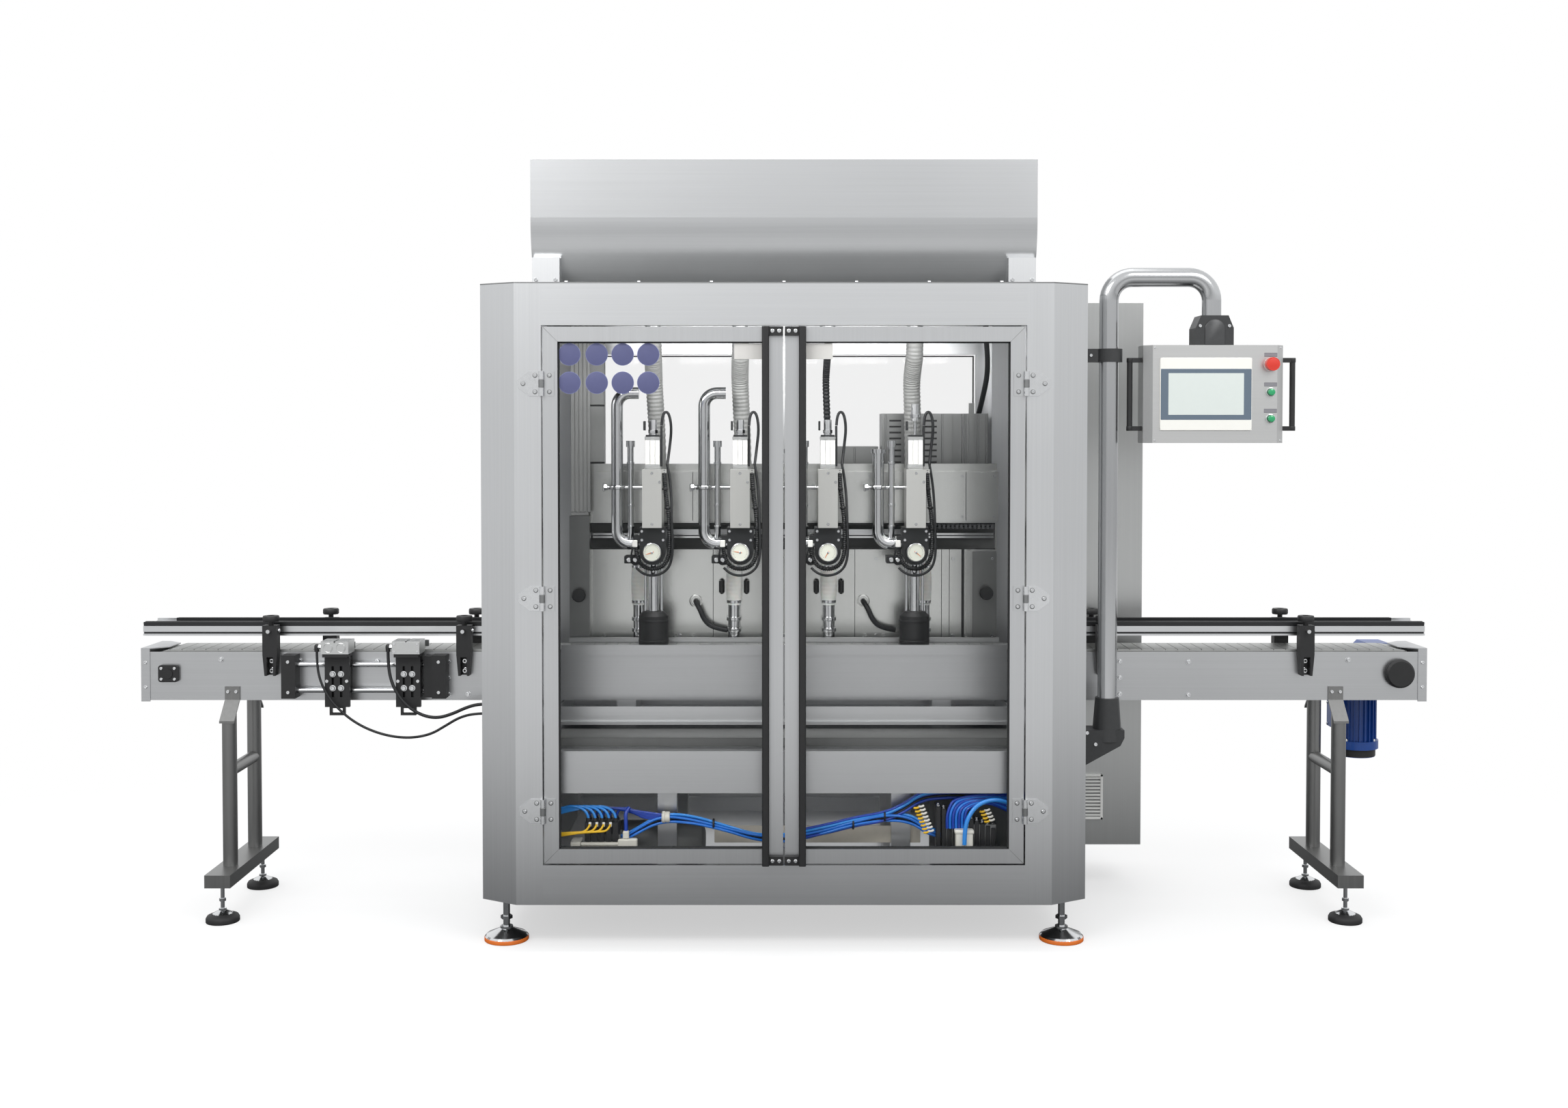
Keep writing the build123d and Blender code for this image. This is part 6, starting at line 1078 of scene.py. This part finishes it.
# Touch screen: white moulded bezel, dark blue-grey mask and a pale display under glass.
bezel_white = paint("moulded_white_bezel", "#ecebe5", 0.38, spread=0.02, slot="screen_face")
finish_node(bezel_white, "panel_screen")
rounded("bezel_edge", bezel_white, 1.135, 1.413, 1.53, 1.75, 0.008,
        [(panel_face, 0.0), (-0.3095, 0.0), (-0.3114, 0.0012)])
mask = paint("printed_screen_mask", "#5d6c7b", 0.22, spread=0.03, slot="screen_face",
             Coat_Weight=0.5)
rounded("screen_mask", mask, 1.137, 1.411, 1.562, 1.716, 0.002, [(-0.3113, 0.0), (-0.3118, 0.0003)])
display = paint("unlit_display_glass", "#d5dcd8", 0.12, spread=0.015, slot="screen_face",
                Coat_Weight=0.6)
rounded("display", display, 1.16, 1.388, 1.577, 1.703, 0.0015, [(-0.3117, 0.0), (-0.3122, 0.0003)])

# Push buttons: a red mushroom head and two green lenses in turned metal rings, with a plain
# anodised plate over each.
# Moulded plastic: warm red with a soft gloss.
stop_red = paint("moulded_red_button", "#d2301f", 0.3, spread=0.05, slot="stop_red",
                 Coat_Weight=0.3)
finish_node(stop_red, "stop_button")
# Moulded lens: deep green and glossy.
green_lens = paint("green_lens", "#1f9d63", 0.18, spread=0.06, slot="button_green", Coat_Weight=0.5)
finish_node(green_lens, "upper_button", "lower_button")
button_x, stop_z = 1.47, 1.73
button_zs = {"upper_button": 1.646, "lower_button": 1.566}
turned("button_rings", riser_steel,
       [(0.0112, panel_face), (0.0138, panel_face), (0.0142, -0.3075), (0.0138, -0.3095),
        (0.0122, -0.3102), (0.0112, -0.3092)], spots(button_x, 0.0, list(button_zs.values())), "y",
       32, loop=True, **on_panel)
turned("stop_collar", pale_plate,
       [(0.0112, panel_face), (0.0213, panel_face), (0.0211, -0.3067), (0.0112, -0.3067)],
       [(button_x, 0.0, stop_z)], "y", 36, loop=True, **on_panel)
turned("stop_button_rim", stop_red,
       [(0.0203, -0.3185), (0.0206, -0.3205), (0.0206, -0.33), (0.019, -0.3335), (0.012, -0.3352)],
       [(button_x, 0.0, stop_z)], "y", 36, body="stop_button")
for name, z in button_zs.items():
    turned(f"{name}_lens", green_lens,
           [(0.0101, -0.315), (0.0103, -0.318), (0.0098, -0.3212), (0.007, -0.3226),
            (0.003, -0.3232)], [(button_x, 0.0, z)], "y", 28, body=name)
# Anodised plate: violet-grey with fine lines across it.
label_plate = paint("grey_anodised_plate", "#8e8d92", 0.4, 0.6, grain=(3.0, 200.0, 200.0),
                    spread=0.06, slot="aluminium")
bars("button_plates", label_plate, [(1.4505, 1.4895, -0.307, panel_face, z - 0.006, z + 0.006)
                                    for z in (1.7585, 1.669, 1.5895)], 0.0004, **on_panel)
screws("panel_corner_screws", spots((1.121, 1.5), -0.306, (1.5, 1.78)), 0.0032, 0.0016, around=12,
       **on_panel)
turned("handle_feet", black_nylon, band(0.009, 0.0098, 0.014, 0.002),
       spots((1.054, 1.55), -0.26, (1.529, 1.737)), **on_panel)

# Electrical cabinet
# Folded sheet box on the machine's right side, brushed upright, with a pale moulded fan grille
# low on its front.
# Brushed sheet: a little darker than the machine's panels, with upright lines.
finish_node(paint("brushed_cabinet_sheet", "#bdbebd", 0.36, 1.0, grain=upright, spread=0.05),
            "electrical_cabinet")
# Moulded grille: warm white, matt and finely grained.
grille_plastic = paint("moulded_grille_plastic", "#e2e2df", 0.5, bump=(500.0, 0.0002),
                       spread=0.05, slot="aluminium")
bars("grille_filter", dull_grey_and_shade, (0.912, 1.056, 0.1502, 0.1512, 0.24, 0.384), 0.0003)
bars("grille_blades", grille_plastic, [(0.915, 1.053, 0.1448, 0.151, z, z + 0.006)
                                       for z in np.arange(0.248, 0.378, 0.0112)], 0.0012)
bars("grille_frame", grille_plastic,
     np.insert(border(0.908, 1.06, 0.236, 0.388, 0.009), [2, 2], (0.144, 0.1512), 1), 0.0015)
# Its door is taken to be on the outer side: a thin seam, two quarter-turn locks and three hinges.
bars("cabinet_door_seam", black_nylon,
     np.insert(border(0.165, 0.486, 0.165, 1.936, 0.0016), [0, 0], (1.1875, 1.1883), 1), 0.0002,
     slot="dark_paint")
turned("cabinet_locks", chrome,
       [(0.013, 0.0), (0.013, 0.003), (0.011, 0.0045), (0.0045, 0.0045), (0.004, 0.002)],
       spots(1.188, 0.19, (0.62, 1.48)), "x", 24)
bars("cabinet_hinges", dull_grey_and_shade,
     [(1.187, 1.196, 0.472, 0.4925, z - 0.03, z + 0.03) for z in (0.36, 1.05, 1.74)], 0.003,
     slot="stainless")
